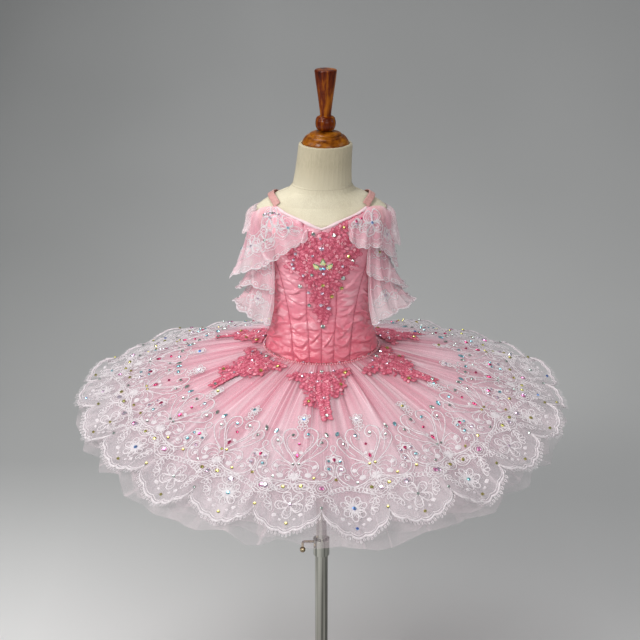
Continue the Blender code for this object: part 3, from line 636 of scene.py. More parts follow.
@dataclass
class TorsoShape:
    """The dress form's skin, and what is fitted to it."""

    sections: Sequence[Section] = table(
        Section, (0.7, 0.0915, 0.074, 0.08), (0.712, 0.098, 0.081, 0.087),
        (0.745, 0.101, 0.084, 0.09), (0.775, 0.0975, 0.082, 0.087), (0.8, 0.0918, 0.079, 0.083),
        (0.835, 0.0838, 0.0715, 0.072), (0.868, 0.0812, 0.0675, 0.066), (0.9, 0.0825, 0.0715, 0.067),
        (0.94, 0.0875, 0.078, 0.07), (0.975, 0.0945, 0.08, 0.072), (1.005, 0.1025, 0.077, 0.071),
        (1.025, 0.1095, 0.07, 0.067), (1.0385, 0.108, 0.059, 0.059), (1.047, 0.0975, 0.051, 0.053),
        (1.06, 0.076, 0.0455, 0.048), (1.068, 0.056, 0.0435, 0.0455), (1.078, 0.0485, 0.0425, 0.0435),
        (1.1, 0.0462, 0.043, 0.043), (1.125, 0.0447, 0.043, 0.043), (1.1435, 0.0443, 0.0433, 0.0433))
    edge: Sequence[EdgeKnot] = table(
        EdgeKnot, (46.0, 1.045), (54.0, 1.035), (64.0, 1.01), (76.0, 0.99), (90.0, 0.984),
        (104.0, 0.988), (118.0, 1.008), (128.0, 1.031), (134.0, 1.038), (145.0, 1.033), (160.0, 1.024),
        (180.0, 1.016))
    hip_side: float = 0.7895
    hip_dip: float = 0.003
    neck_front: float = 1.02
    neck_corner: float = 1.045
    corner_angle: float = 46.0
    body_ease: float = 0.0019
    top_ease: float = 0.0025
    shoulder_low: float = 1.0385
    shoulder_high: float = 1.068
    lean: float = 0.0066
    lean_start: float = 1.0625
    lean_end: float = 1.1435

    def sizes(self, z: Array, facing: Array) -> tuple[Array, Array]:
        """Half width and depth of the form.

        Args:
            z: heights.
            facing: above 0 for the front half.

        Returns:
            Half width and depth at each height.
        """
        keys = np.array(self.sections)
        half_width, front, back = (np.interp(z, keys[:, 0], keys[:, i]) for i in (1, 2, 3))
        return half_width, np.where(facing > 0, front, back)

    def skin(self, z: Array, angle: Array) -> Array:
        """Points on the smooth skin.

        Args:
            z: heights.
            angle: angles in degrees.

        Returns:
            (..., 3) points.
        """
        z, angle = np.broadcast_arrays(np.asarray(z, float), np.asarray(angle, float))
        turn = np.radians(angle)
        half_width, depth = self.sizes(z, np.cos(turn))
        leaning = self.lean * np.clip((z - self.lean_start) / (self.lean_end - self.lean_start), 0.0, 1.0)
        return np.stack([half_width * np.sin(turn) + leaning, -depth * np.cos(turn), z], axis=-1)

    def off(self, z: Array, angle: Array, out: Array, side: int = RIGHT) -> Array:
        """Points that stand out from the skin, square to it.

        Args:
            z: heights.
            angle: angles in degrees.
            out: distances from the skin.
            side: LEFT for their mirror image.

        Returns:
            (..., 3) points.
        """
        z, angle, out = np.broadcast_arrays(np.asarray(z, float), np.asarray(angle, float),
                                            np.asarray(out, float))
        across = self.skin(z, angle + 1.0) - self.skin(z, angle - 1.0)
        upward = self.skin(z + 0.002, angle) - self.skin(z - 0.002, angle)
        place = self.skin(z, angle) + unit(np.cross(across, upward)) * out[..., None]
        place[..., 0] *= side
        return place

    def hip_seam(self, angle: Array) -> Array:
        """Height of the hip seam at each angle."""
        return self.hip_side - self.hip_dip * np.maximum(np.cos(np.radians(angle)), 0.0) ** 2

    def bodice_top(self, angle: Array) -> Array:
        """Height of the bodice's upper edge: a shallow V, armholes and a low back.

        Args:
            angle: angles from -180 to 180.

        Returns:
            The heights.
        """
        turned = np.abs(np.asarray(angle, float))
        knots = np.array(self.edge)
        share = np.sin(np.radians(np.minimum(turned, self.corner_angle)))
        neck = self.neck_front + ((self.neck_corner - self.neck_front) * share
                                  / math.sin(math.radians(self.corner_angle)))
        return np.where(turned <= self.corner_angle, neck,
                        smooth_table(knots[:, 0], knots[:, 1], turned))

    def bodice_z(self, angle: Array, share: Array) -> Array:
        """Height on the bodice at shares of the way from the hip seam to its upper edge."""
        low = self.hip_seam(angle)
        return low + (self.bodice_top(angle) - low) * share

    def bodice_ease(self, z: Array, angle: Array) -> Array:
        """Distance from the skin to the bodice's inner face.

        Args:
            z: heights.
            angle: angles.

        Returns:
            The distances.
        """
        low = self.hip_seam(angle)
        share = np.clip((z - low) / (self.bodice_top(angle) - low), 0.0, 1.0)
        return self.body_ease + self.top_ease * share ** 4

    def shoulder_height(self, half_width: Array) -> Array:
        """Height on the shoulder slope where the form has a given half width."""
        heights = np.linspace(self.shoulder_high, self.shoulder_low, 80)
        widths = self.skin(heights, 90.0)[:, 0]
        return np.interp(half_width, widths, heights)


class Layer(NamedTuple):
    """One layer of the skirt."""

    name: str
    start: float
    drop: float
    radius: float
    ruffles: int
    ruffle: float
    phase: float


class Wave(NamedTuple):
    """One run of big waves round the skirt."""

    count: int
    share: float
    phase: float


class Fold(NamedTuple):
    """A fold in the gathered skirt: its bearing, half width, height, and the share where it fades."""

    bearing: float
    width: float
    height: float
    end: float


LACE = Layer("lace_overlay", 0.0015, 0.0, 0.413, 24, 0.0065, 0.0)
NETS = (
    Layer("net_upper", 0.0052, 0.009, 0.412, 24, 0.0026, 0.0),
    Layer("net_middle", 0.0089, 0.019, 0.418, 24, 0.0028, 0.9),
    Layer("net_lower", 0.0126, 0.031, 0.426, 24, 0.003, 2.4),
)


@dataclass
class SkirtShape:
    """The shallow cone of the skirt, its waves and its gathers."""

    torso: TorsoShape
    out: float = 0.0048
    rim_side: float = 0.709
    rim_front: float = 0.66
    rim_back: float = 0.677
    sag: float = 0.25
    wave_height: float = 0.0085
    growth: float = 1.6
    waves: Sequence[Wave] = table(
        Wave, (5, 0.3, 0.9), (9, 0.35, 2.1), (14, 0.45, 0.4))
    scallops: int = 24
    scallop_depth: float = 0.026
    scallop_low: float = -0.0185
    lobes: int = 5
    lobe_depth: float = 0.0036
    gathers: Sequence[Wave] = table(
        Wave, (61, 0.0006, 0.3), (89, 0.0005, 1.7), (127, 0.00045, 4.1), (163, 0.0003, 2.6))
    folds: Sequence[Fold] = table(
        Fold, (-174, 2.6, 0.004, 0.85), (-161, 3.4, -0.003, 0.7), (-149, 2.2, 0.0034, 0.95),
        (-137, 3.0, 0.0042, 0.6), (-126, 2.4, -0.0032, 0.8), (-113, 2.0, 0.0038, 0.9),
        (-101, 3.2, 0.003, 0.75), (-90, 2.6, -0.0034, 0.85), (-79, 2.2, 0.0044, 0.65),
        (-68, 2.8, 0.0032, 0.95), (-57, 2.0, -0.003, 0.8), (-49, 2.4, 0.0042, 0.9),
        (-38, 1.8, 0.0036, 0.7), (-31, 2.2, -0.0032, 0.85), (-22, 1.9, 0.0044, 0.75),
        (-12, 1.6, -0.003, 0.9), (-5, 1.6, 0.0036, 0.6), (6, 2.0, 0.0044, 0.8), (14, 1.6, -0.0034, 0.7),
        (22, 2.2, 0.0042, 0.95), (33, 1.8, 0.0034, 0.75), (41, 2.4, -0.0032, 0.85),
        (52, 2.0, 0.0044, 0.65), (62, 2.6, 0.003, 0.9), (74, 2.2, -0.0034, 0.8), (85, 2.8, 0.004, 0.7),
        (97, 2.0, 0.0036, 0.95), (109, 2.6, -0.003, 0.75), (120, 2.2, 0.0042, 0.85),
        (132, 3.0, 0.0034, 0.6), (143, 2.4, -0.0032, 0.9), (155, 2.8, 0.004, 0.8), (167, 2.0, 0.0034, 0.7))
    gather_start: float = 0.1
    gather_fade: tuple[float, float] = (1.25, 0.95)
    fold_widths: tuple[float, float] = (0.75, 0.5)
    fold_run: tuple[float, float] = (0.35, 0.95)
    fold_wander: float = 1.4
    fold_fade: float = 0.8
    fold_share: float = 0.8

    def hip(self, layer: Layer, bearing: Array) -> tuple[Array, Array]:
        """Radius and height where a layer starts.

        Args:
            layer: the layer.
            bearing: bearings in degrees.

        Returns:
            Radius and height at each bearing.
        """
        turn = np.radians(bearing)
        half_width, depth = self.torso.sizes(self.torso.hip_seam(bearing), np.cos(turn))
        angle = np.degrees(np.arctan2(np.sin(turn) / half_width, np.cos(turn) / depth))
        height = self.torso.hip_seam(angle) - layer.start
        start = self.torso.off(height, angle, self.out)
        return np.hypot(start[..., 0], start[..., 1]), height

    def rim(self, layer: Layer, bearing: Array) -> tuple[Array, Array]:
        """Radius and height of a layer's rim, without its waves.

        Args:
            layer: the layer.
            bearing: bearings in degrees.

        Returns:
            Radius and height at each bearing.
        """
        facing = np.cos(np.radians(bearing))
        end = np.where(facing > 0, self.rim_front, self.rim_back)
        height = self.rim_side + (end - self.rim_side) * facing ** 2 - layer.drop
        radius = np.full_like(facing, layer.radius)
        if layer is LACE:
            place = np.mod(np.asarray(bearing) * self.scallops / 360.0, 1.0)
            radius = (radius + self.scallop_low
                      + self.scallop_depth * np.sqrt(np.maximum(1 - (2 * place - 1) ** 2, 0))
                      + self.lobe_depth * np.abs(np.sin(self.lobes * math.pi * place)))
        return radius, height

    def crimp(self, bearing: Array, share: Array, phase: float) -> Array:
        """Height of the gathers and folds.

        Args:
            bearing: bearings in degrees.
            share: share of the way to the rim.
            phase: shift of the fine gathers.

        Returns:
            The height at each place.
        """
        turn = np.radians(bearing)
        fine = sum(wave.share * np.cos(wave.count * turn + wave.phase + phase)
                   for wave in self.gathers)
        rise = np.clip(share / self.gather_start, 0.0, 1.0)
        full, loss = self.gather_fade
        total = fine * rise * (full - loss * share)
        narrow, growth = self.fold_widths
        start, length = self.fold_run
        for fold in self.folds:
            apart = (np.asarray(bearing) - fold.bearing + 180.0) % 360.0 - 180.0
            apart = apart + self.fold_wander * np.sin(5.0 * share + fold.bearing)
            width = fold.width * (narrow + growth * share)
            gone = np.clip((share - start * fold.end) / (length * fold.end), 0.0, 1.0)
            fade = rise * (1.0 - gone * self.fold_fade)
            total = total + fold.height * np.exp(-(apart / width) ** 2) * fade * self.fold_share
        return total

    def point(self, layer: Layer, bearing: Array, share: Array, crimped: bool = True) -> Array:
        """Points on a layer's upper face.

        Args:
            layer: the layer.
            bearing: bearings in degrees.
            share: share of the way from the hip to the rim.
            crimped: add the gathers.

        Returns:
            (..., 3) points.
        """
        bearing, share = np.broadcast_arrays(np.asarray(bearing, float), np.asarray(share, float))
        turn = np.radians(bearing)
        inner, start = self.hip(layer, bearing)
        radius, rim = self.rim(layer, bearing)
        reach = inner + (radius - inner) * share
        share = share * (radius - inner) / (layer.radius - inner)
        fall = (start - rim) * ((1.0 - self.sag) * share + self.sag * share ** 2)
        wave = sum(self.wave_height * run.share * np.cos(run.count * turn + run.phase)
                   for run in self.waves)
        ruffle = layer.ruffle * np.cos(layer.ruffles * turn + layer.phase)
        height = start - fall + wave * np.clip(share, 0, 2) ** self.growth + ruffle * share ** 4
        if crimped:
            height = height + self.crimp(bearing, share, layer.phase)
        return np.stack([reach * np.sin(turn), -reach * np.cos(turn), height], axis=-1)

    def at_radius(self, layer: Layer, bearing: Array, reach: Array, crimped: bool = True) -> Array:
        """Points on a layer at given radii.

        Args:
            layer: the layer.
            bearing: bearings in degrees.
            reach: distances from the axis.
            crimped: add the gathers.

        Returns:
            (..., 3) points.
        """
        inner, _ = self.hip(layer, bearing)
        radius, _ = self.rim(layer, bearing)
        return self.point(layer, bearing, (reach - inner) / (radius - inner), crimped)


class Station(NamedTuple):
    """Where a flounce starts and ends at one place along it."""

    top_angle: float
    top_z: float
    hem_angle: float
    hem_z: float
    hem_out: float


class Blossom(NamedTuple):
    """An embroidered flower: its place in metres along and down, size, petals and stone."""

    along: float
    down: float
    size: float
    petals: int
    tint: StoneTint


class Flounce(NamedTuple):
    """Cut of one gathered flounce or frill; flare bends its fall, and pleats lie between its waves."""

    name: str
    side: int
    waves: int
    wave_depth: float
    scallops: int
    scallop: float
    start_out: float
    flare: float
    pleat: float
    stations: Sequence[Station]
    blossoms: Sequence[Blossom] = ()


@dataclass
class FlounceShape:
    """One gathered flounce of a sleeve, or a shoulder frill."""

    torso: TorsoShape
    cut: Flounce
    pleating: float = 2.37

    def point(self, along: Array, down: Array) -> Array:
        """Points on the flounce.

        Args:
            along: share of the way from front to back.
            down: share of the way from the gathers to the hem.

        Returns:
            (..., 3) points.
        """
        along, down = np.broadcast_arrays(np.asarray(along, float), np.asarray(down, float))
        cut = self.cut
        keys = np.linspace(0.0, 1.0, len(cut.stations))
        columns = np.array(cut.stations)
        top_angle, top_z, hem_angle, hem_z, hem_out = (
            smooth_table(keys, columns[:, i], along) for i in range(5))
        ripple = cut.wave_depth * np.sin(math.tau * cut.waves * along) * down
        pleats = cut.pleat * np.sin(math.tau * (self.pleating * cut.waves) * along + 1.1 + 2.0 * down)
        ripple = ripple + pleats * np.minimum(down * 3.0, 1.0)
        scallop = cut.scallop * np.abs(np.sin(math.pi * cut.scallops * along)) * down
        angle = top_angle + (hem_angle - top_angle) * down
        z = top_z + (hem_z - top_z) * down - scallop
        out = cut.start_out + (hem_out - cut.start_out) * np.clip(down, 0, 2) ** cut.flare + ripple
        return self.torso.off(z, angle, out, cut.side)

    def size(self) -> tuple[float, float]:
        """Width along the middle, and depth from gathers to hem, in metres."""
        return (length_of(self.point(np.linspace(0, 1, 60), np.full(60, 0.6))),
                length_of(self.point(np.full(30, 0.5), np.linspace(0, 1, 30))))


# ------------------------------------------------------------------ needlework
Place = Callable[[Array, Array, Array], Array]


@dataclass
class Ground:
    """Cloth that needlework lies on, reached by two distances from an origin."""

    place: Place
    up: float = 1.0
    step: float = 0.0006

    def frames(self, across: Array, along: Array, origin: Array) -> tuple[Array, Array, Array, Array]:
        """Point on the cloth and its three directions.

        Args:
            across: first distance in metres.
            along: second distance in metres.
            origin: where the distances are measured from.

        Returns:
            Point, direction across, direction along, and direction off the cloth.
        """
        here = self.place(across, along, origin)
        side = unit(self.place(across + self.step, along, origin) - here)
        ahead = unit(self.place(across, along + self.step, origin) - here)
        return here, side, ahead, unit(np.cross(side, ahead)) * self.up


class Stroke(NamedTuple):
    """One stitched line, through points in millimetres; it is mirrored unless told otherwise."""

    points: Sequence[tuple[float, float]]
    width: float
    mirrored: bool = True


def smooth_line(points: Sequence[tuple[float, float]], spacing: float) -> Array:
    """Even line through a few points.

    Args:
        points: the points.
        spacing: distance between the new points.

    Returns:
        (N, 2) points.
    """
    knots = np.asarray(points, float)
    keys = np.arange(len(knots))
    fine = np.linspace(0, len(knots) - 1, 16 * (len(knots) - 1) + 1)
    line = np.stack([smooth_table(keys, knots[:, i], fine) for i in (0, 1)], axis=1)
    length = np.concatenate([[0.0], np.cumsum(np.linalg.norm(np.diff(line, axis=0), axis=1))])
    count = max(int(round(length[-1] / spacing)), 3)
    even = np.linspace(0.0, length[-1], count + 1)
    return np.stack([np.interp(even, length, line[:, i]) for i in (0, 1)], axis=1)


def tilted(spot: tuple[float, float], x: Array, y: Array, tilt: float) -> Array:
    """Points turned by degrees round a spot.

    Args:
        spot: the spot.
        x: distances along, before the turn.
        y: distances across, before the turn.
        tilt: the turn.

    Returns:
        (N, 2) points.
    """
    lean = math.radians(tilt)
    return np.stack([spot[0] + x * math.cos(lean) - y * math.sin(lean),
                     spot[1] + x * math.sin(lean) + y * math.cos(lean)], axis=1)


def ring(centre: tuple[float, float], wide: float, high: float, tilt: float = 0.0,
         count: int = 12, wobble: float = 0.0) -> Array:
    """Closed oval.

    Args:
        centre: its middle.
        wide: half its width.
        high: half its height.
        tilt: turn in degrees.
        count: number of points.
        wobble: share by which its edge waves.

    Returns:
        (N, 2) points.
    """
    turn = np.linspace(0.0, math.tau, count, endpoint=False)
    swell = 1.0 + wobble * np.sin(5 * turn + centre[0])
    x, y = wide * swell * np.cos(turn), high * swell * np.sin(turn)
    return tilted(centre, x, y, tilt)


def leaf(root: tuple[float, float], tilt: float, length: float, width: float, count: int = 12) -> Array:
    """Closed leaf or petal with a pointed root.

    Args:
        root: where it starts.
        tilt: direction in degrees from +x.
        length: its length.
        width: half its width.
        count: number of points.

    Returns:
        (N, 2) points.
    """
    turn = np.linspace(0.0, math.tau, count, endpoint=False)
    x = length * (0.5 - 0.5 * np.cos(turn))
    y = width * np.sin(turn) * (0.55 + 0.45 * (x / length)) * np.sqrt(np.abs(np.sin(turn * 0.5)) + 0.02)
    return tilted(root, x, y, tilt)


class StoneCut(Enum):
    """Outlines of the sewn-on stones."""

    ROUND = "round"
    MARQUISE = "marquise"
    DROP = "drop"


class Sewn:
    """Patches of one kind, kept until they are all put on the cloth together."""

    def __init__(self) -> None:
        """Start with nothing."""
        self.spots: list[Array] = []
        self.shapes: list[Array] = []
        self.origins: list[Array] = []
        self.faces: list[tuple[int, ...]] = []
        self.tints: list[int] = []
        self.count = 0

    def add(self, spots: Array, shapes: Array, origin: float, faces: Iterable[Sequence[int]],
            tint: int) -> None:
        """Keep a patch.

        Args:
            spots: (N, 2) places on the cloth.
            shapes: (N, 3) offsets across, along and off the cloth.
            origin: where the places are measured from.
            faces: faces that count from the patch's first point.
            tint: index of its material.
        """
        spots = np.broadcast_to(np.asarray(spots, float), (len(shapes), 2))
        self.spots.append(spots)
        self.shapes.append(shapes)
        self.origins.append(np.full(len(shapes), float(origin)))
        before = len(self.faces)
        self.faces.extend(tuple(corner + self.count for corner in face) for face in faces)
        self.tints.extend([tint] * (len(self.faces) - before))
        self.count += len(shapes)

    def book(self, ground: Ground, size: float) -> MeshBook:
        """Put every patch on the cloth.

        Args:
            ground: the cloth.
            size: metres in one unit of the patterns.

        Returns:
            The points and faces.
        """
        spots, shapes = np.concatenate(self.spots) * size, np.concatenate(self.shapes) * size
        here, side, ahead, off = ground.frames(spots[:, 0], spots[:, 1], np.concatenate(self.origins))
        made = MeshBook()
        made.add(here + side * shapes[:, :1] + ahead * shapes[:, 1:2] + off * shapes[:, 2:], self.faces)
        made.tints = self.tints
        return made


class Needlework:
    """Cords, filled petals, beads and stones gathered for one piece of cloth."""

    size = 0.001  # metres in one unit of the patterns
    cord_section = ((-1.0, 0.0), (-0.45, 0.85), (0.45, 0.85), (1.0, 0.0))
    end_taper = 0.35
    tallest_stone = 4.5

    def __init__(self, ground: Ground) -> None:
        """Start on a piece of cloth.

        Args:
            ground: the cloth.
        """
        self.ground = ground
        self.origin = 0.0
        self.cords = Sewn()
        self.fills = Sewn()
        self.gems = Sewn()

    def cord(self, line: Array, width: float = 1.0, height: float = 0.55, lift: float = 0.15,
             closed: bool = False) -> None:
        """Stitch a raised cord along a line.

        Args:
            line: (N, 2) points in pattern units.
            width: width in pattern units.
            height: height in pattern units.
            lift: gap under it.
            closed: join the end to the start.
        """
        line = np.asarray(line, float)
        count = len(line)
        taper = np.ones(count)
        if closed:
            ahead = np.roll(line, -1, axis=0) - np.roll(line, 1, axis=0)
        else:
            ahead = np.gradient(line, axis=0)
            taper[0] = taper[-1] = self.end_taper
        side = unit(np.stack([-ahead[:, 1], ahead[:, 0]], axis=1)) * width * 0.5
        spots, shapes = [], []
        for shift, rise in self.cord_section:
            spots.append(line + side * shift * taper[:, None])
            shapes.append(np.stack([np.zeros(count), np.zeros(count),
                                    np.full(count, lift) + height * rise * taper], axis=1))
        faces = [(strip * count + index, strip * count + (index + 1) % count,
                  (strip + 1) * count + (index + 1) % count, (strip + 1) * count + index)
                 for index in range(count if closed else count - 1) for strip in range(3)]
        self.cords.add(np.concatenate(spots), np.concatenate(shapes), self.origin, faces, 0)

    def loop(self, outline: Array, width: float = 1.0, height: float = 0.55, lift: float = 0.15) -> None:
        """Stitch a raised cord round an outline."""
        self.cord(outline, width, height, lift, closed=True)

    def stroke(self, stroke: Stroke, spacing: float = 2.0) -> None:
        """Stitch a given line, and its mirror image.

        Args:
            stroke: the line.
            spacing: distance between its points.
        """
        line = smooth_line(stroke.points, spacing)
        self.cord(line, stroke.width)
        if stroke.mirrored:
            self.cord(line * (-1.0, 1.0), stroke.width)

    def fill(self, outline: Array, dome: float = 0.5, lift: float = 0.15, tint: int = 0) -> None:
        """Satin-stitch a closed outline as a low dome.

        Args:
            outline: (N, 2) points.
            dome: height of its middle.
            lift: height of its edge.
            tint: index of its material.
        """
        outline = np.asarray(outline, float)
        centre = outline.mean(axis=0)
        count = len(outline)
        spots = np.vstack([outline, centre + (outline - centre) * 0.55, centre[None]])
        shapes = np.zeros((len(spots), 3))
        shapes[:, 2] = np.concatenate([np.full(count, lift), np.full(count, lift + dome * 0.8),
                                       [lift + dome]])
        faces: list[tuple[int, ...]] = []
        for index in range(count):
            after = (index + 1) % count
            faces += [(index, after, count + after, count + index),
                      (count + index, count + after, 2 * count)]
        self.fills.add(spots, shapes, self.origin, faces, tint)

    def turned(self, spot: tuple[float, float], lines: Array, steps: Sequence[tuple[float, float]],
               tint: StoneTint) -> None:
        """Set a solid made of ever smaller copies of an outline.

        Args:
            spot: its place.
            lines: (N, 2) outline round the place.
            steps: size and height of each copy.
            tint: its finish.
        """
        sides = len(lines)
        shapes = [np.column_stack([lines * scale, np.full(sides, rise)]) for scale, rise in steps]
        faces = grid_faces(len(steps), sides, closed=True)
        faces.append(tuple(range((len(steps) - 1) * sides, len(steps) * sides)))
        self.gems.add(np.asarray(spot, float), np.concatenate(shapes), self.origin, faces,
                      list(StoneTint).index(tint))

    def bead(self, spot: tuple[float, float], size: float, tint: StoneTint, lift: float = 0.3) -> None:
        """Sew on a small round bead.

        Args:
            spot: its place.
            size: its diameter.
            tint: its finish.
            lift: gap under it.
        """
        radius = size * 0.5
        steps = [(0.8, lift - 0.2 * radius), (0.98, lift + 0.4 * radius), (0.66, lift + 1.1 * radius),
                 (0.22, lift + 1.35 * radius)]
        self.turned(spot, ring((0.0, 0.0), radius, radius, 0.0, 6), steps, tint)

    def stone(self, spot: tuple[float, float], size: float, tint: StoneTint,
              cut: StoneCut = StoneCut.ROUND, tilt: float = 90.0, lift: float = 0.3) -> None:
        """Sew on a faceted stone.

        Args:
            spot: its place.
            size: its diameter or length.
            tint: its finish.
            cut: its outline.
            tilt: direction of its length in degrees.
            lift: gap under it.
        """
        turn = np.linspace(0, math.tau, 10, endpoint=False)
        long, wide = np.cos(turn), np.sin(turn)
        if cut is StoneCut.MARQUISE:
            wide = wide * (0.5 - 0.18 * long ** 4)
        elif cut is StoneCut.DROP:
            wide = wide * (0.62 - 0.36 * long)
        lines = tilted((0.0, 0.0), long, wide, tilt) * size * 0.5
        tall = min(size, self.tallest_stone)
        self.turned(spot, lines, [(0.92, lift), (1.0, lift + 0.22 * tall), (0.58, lift + 0.52 * tall)],
                    tint)


THREADS = (
    ThreadFinish("white_thread", (0.79, 0.74, 0.76), (0.6, 0.53, 0.56)),
    ThreadFinish("white_petal", (0.76, 0.71, 0.73), (0.66, 0.59, 0.62), 0.6, 0.3),
    ThreadFinish("rose_thread", (0.7, 0.13, 0.21), (0.46, 0.045, 0.1), 0.42, 0.2),
    ThreadFinish("rose_petal", (0.84, 0.27, 0.36), (0.68, 0.14, 0.22), 0.5, 0.2),
    ThreadFinish("coral_petal", (0.92, 0.48, 0.54), (0.86, 0.33, 0.41), 0.5, 0.3),
    ThreadFinish("piping_thread", (0.62, 0.13, 0.2), (0.46, 0.07, 0.13), 0.5, 0.1),
    ThreadFinish("pale_satin_tape", (0.9, 0.72, 0.75), (0.84, 0.62, 0.66), 0.4, 0.2),
    ThreadFinish("strap_satin", (0.66, 0.36, 0.33), (0.54, 0.26, 0.24), 0.4, 0.1),
)


class Workbox:
    """Materials shared by the pieces, mixed once."""

    def __init__(self) -> None:
        """Mix them."""
        self.satin = SatinFinish().material()
        (self.thread, self.petal, self.rose, self.rose_petal, self.coral, self.piping, self.binding,
         self.strap) = (finish.material() for finish in THREADS)
        self.applique = AppliqueFinish().material()
        self.stones = [tint.value.material() for tint in StoneTint]

    def finish_work(self, work: Needlework, name: str, cord: bpy.types.Material,
                    petal: bpy.types.Material, slot: Slot) -> list[bpy.types.Object]:
        """Turn gathered needlework into pieces.

        Args:
            work: the needlework.
            name: start of the pieces' names.
            cord: material of the cords.
            petal: material of the filled shapes.
            slot: not used.

        Returns:
            The pieces.
        """
        made = []
        for sewn, title, materials, smooth in (
                (work.cords, "cords", [cord, petal], True),
                (work.fills, "petals", [petal, cord, self.coral], True),
                (work.gems, "stones", self.stones, False)):
            if sewn.faces:
                book = sewn.book(work.ground, work.size)
                made.append(settle(book.finish(f"{name}_{title}", materials, smooth)))
        return made


# ------------------------------------------------------------------ stand and form
@dataclass
class Stand:
    """Base plate, tubes, clamp collar and screw: solids that keep their form."""

    bright: Sequence[str] = ("outer_tube", "clamp_collar", "inner_tube")
    plate: Sequence[str] = ("base_plate",)
    screw: Sequence[str] = ("clamp_rod", "clamp_ball")

    def dress(self) -> None:
        """Give each solid its metal."""
        for names, finish in (
                (self.bright, ChromeFinish("bright_chrome")),
                (self.plate, ChromeFinish("plate_chrome", (0.62, 0.62, 0.62), 0.17, 0.22, 0.0)),
                (self.screw, ChromeFinish("screw_chrome", (0.4, 0.32, 0.2), 0.16, 0.3, 0.0))):
            metal = finish.material()
            for name in names:
                dress_solid(name, metal)


def dress_solid(name: str, material: bpy.types.Material) -> None:
    """Give a CAD solid a better material.

    Args:
        name: the node.
        material: its finish.
    """
    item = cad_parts[name]
    for slot in item.material_slots:
        slot.material = material
    LOG.info("%s: dressed", name)


@dataclass
class DressForm:
    """Linen torso with its seams, and the turned wooden finial."""

    torso: TorsoShape
    box: Workbox
    seam_lift: float = 0.0004
    seam_foot: float = 0.00005
    seam_width: float = 0.0006
    neck_seam_z: float = 1.0755
    turn_steps: int = 96
    cap_profile: Sequence[tuple[float, float]] = (
        (0.01, 1165.5), (9.0, 1165.5), (15.0, 1165.1), (20.0, 1164.0), (23.6, 1162.6), (25.8, 1161.4),
        (26.3, 1160.6), (26.3, 1160.2), (25.9, 1159.6), (25.9, 1159.2), (26.6, 1158.8), (28.6, 1158.4),
        (31.2, 1157.3), (33.6, 1155.4), (35.6, 1152.9), (37.2, 1150.2), (38.3, 1147.4), (38.8, 1145.3),
        (38.6, 1144.0), (37.6, 1143.2), (37.4, 1142.8), (37.8, 1142.4), (37.0, 1142.3), (0.01, 1142.3),
    )
    handle_profile: Sequence[tuple[float, float]] = (
        (0.01, 1266.2), (9.0, 1266.2), (14.6, 1266.1), (16.6, 1265.8), (17.7, 1265.2), (18.2, 1264.2),
        (18.2, 1263.2), (18.0, 1261.5), (16.5, 1248.5), (14.6, 1235.5), (12.7, 1222.0), (10.9, 1208.5),
        (9.6, 1197.5), (9.1, 1192.0), (9.1, 1190.9), (9.6, 1190.4), (11.4, 1189.9), (13.2, 1189.0),
        (14.7, 1187.7), (15.5, 1186.3), (15.6, 1185.7), (15.4, 1185.3), (15.7, 1184.9), (16.3, 1183.6),
        (16.7, 1180.6), (16.8, 1178.0), (16.7, 1175.4), (16.1, 1172.4), (15.0, 1169.8), (13.4, 1167.8),
        (11.6, 1166.5), (10.4, 1166.0), (0.01, 1165.9),
    )

    def dress(self) -> None:
        """Give the solids their finishes and lay the torso's seams."""
        dress_solid("dress_form", LinenFinish().material())
        self.turn("neck_cap", self.cap_profile, VarnishFinish().material())
        self.turn("finial_handle", self.handle_profile, VarnishFinish(
            "handle_varnish", (0.36, 0.105, 0.002), (0.12, 0.017, 0.001), (0.03, 0.002, 0.001),
            (56.0, 56.0, 5.0)).material())
        self.seams()

    def turn(self, node: str, profile: Sequence[tuple[float, float]], wood: bpy.types.Material) -> None:
        """Turn one piece of the finial, with its beads and quirks.

        Args:
            node: the CAD node that it stands for.
            profile: radius and height in millimetres, from the top down.
            wood: its finish.
        """
        line = np.array(profile) * 0.001
        around = np.radians(np.linspace(0.0, 360.0, self.turn_steps + 1))
        points = np.stack([np.outer(line[:, 0], np.sin(around)) + self.torso.lean,
                           -np.outer(line[:, 0], np.cos(around)),
                           np.repeat(line[:, 1:], len(around), axis=1)], axis=-1)
        places = np.meshgrid(around / math.tau, np.linspace(0.0, 1.0, len(line)))
        lay(node + "_turned", points, wood, [node], places)

    def seams(self) -> None:
        """Lay the sewn lines of the linen cover."""
        book = MeshBook()
        lines = [(np.linspace(0.0, 360.0, 73), np.full(73, self.neck_seam_z))]
        for angle, foot in ((90.0, 1.012), (180.0, 1.03), (270.0, 1.012)):
            lines.append((np.full(40, angle), np.linspace(foot, 1.14, 40)))
        for angles, heights in lines:
            centre = self.torso.off(heights, angles, self.seam_lift)
            side = unit(np.cross(unit(np.gradient(centre, axis=0)), unit(centre * (1.0, 1.0, 0.0))))
            low = self.torso.off(heights, angles, self.seam_foot)
            beside = side * self.seam_width
            book.add(np.stack([low - beside, centre, low + beside], axis=1), grid_faces(len(heights), 3))
        cloth = ThreadFinish("linen_seam", (0.58, 0.52, 0.385), (0.5, 0.44, 0.32), 0.85, 0.0).material()
        settle(book.finish("form_seams", [cloth]))


# ------------------------------------------------------------------ bodice
class Seam(NamedTuple):
    """Angle of a panel seam at the hem, waist, chest and top."""

    hem: float
    waist: float
    chest: float
    top: float


class Wrinkle(NamedTuple):
    """A soft crease: height share, tilt, bow, width, depth, and where it fades."""

    level: float
    tilt: float
    bow: float
    width: float
    depth: float
    middle: float
    reach: float


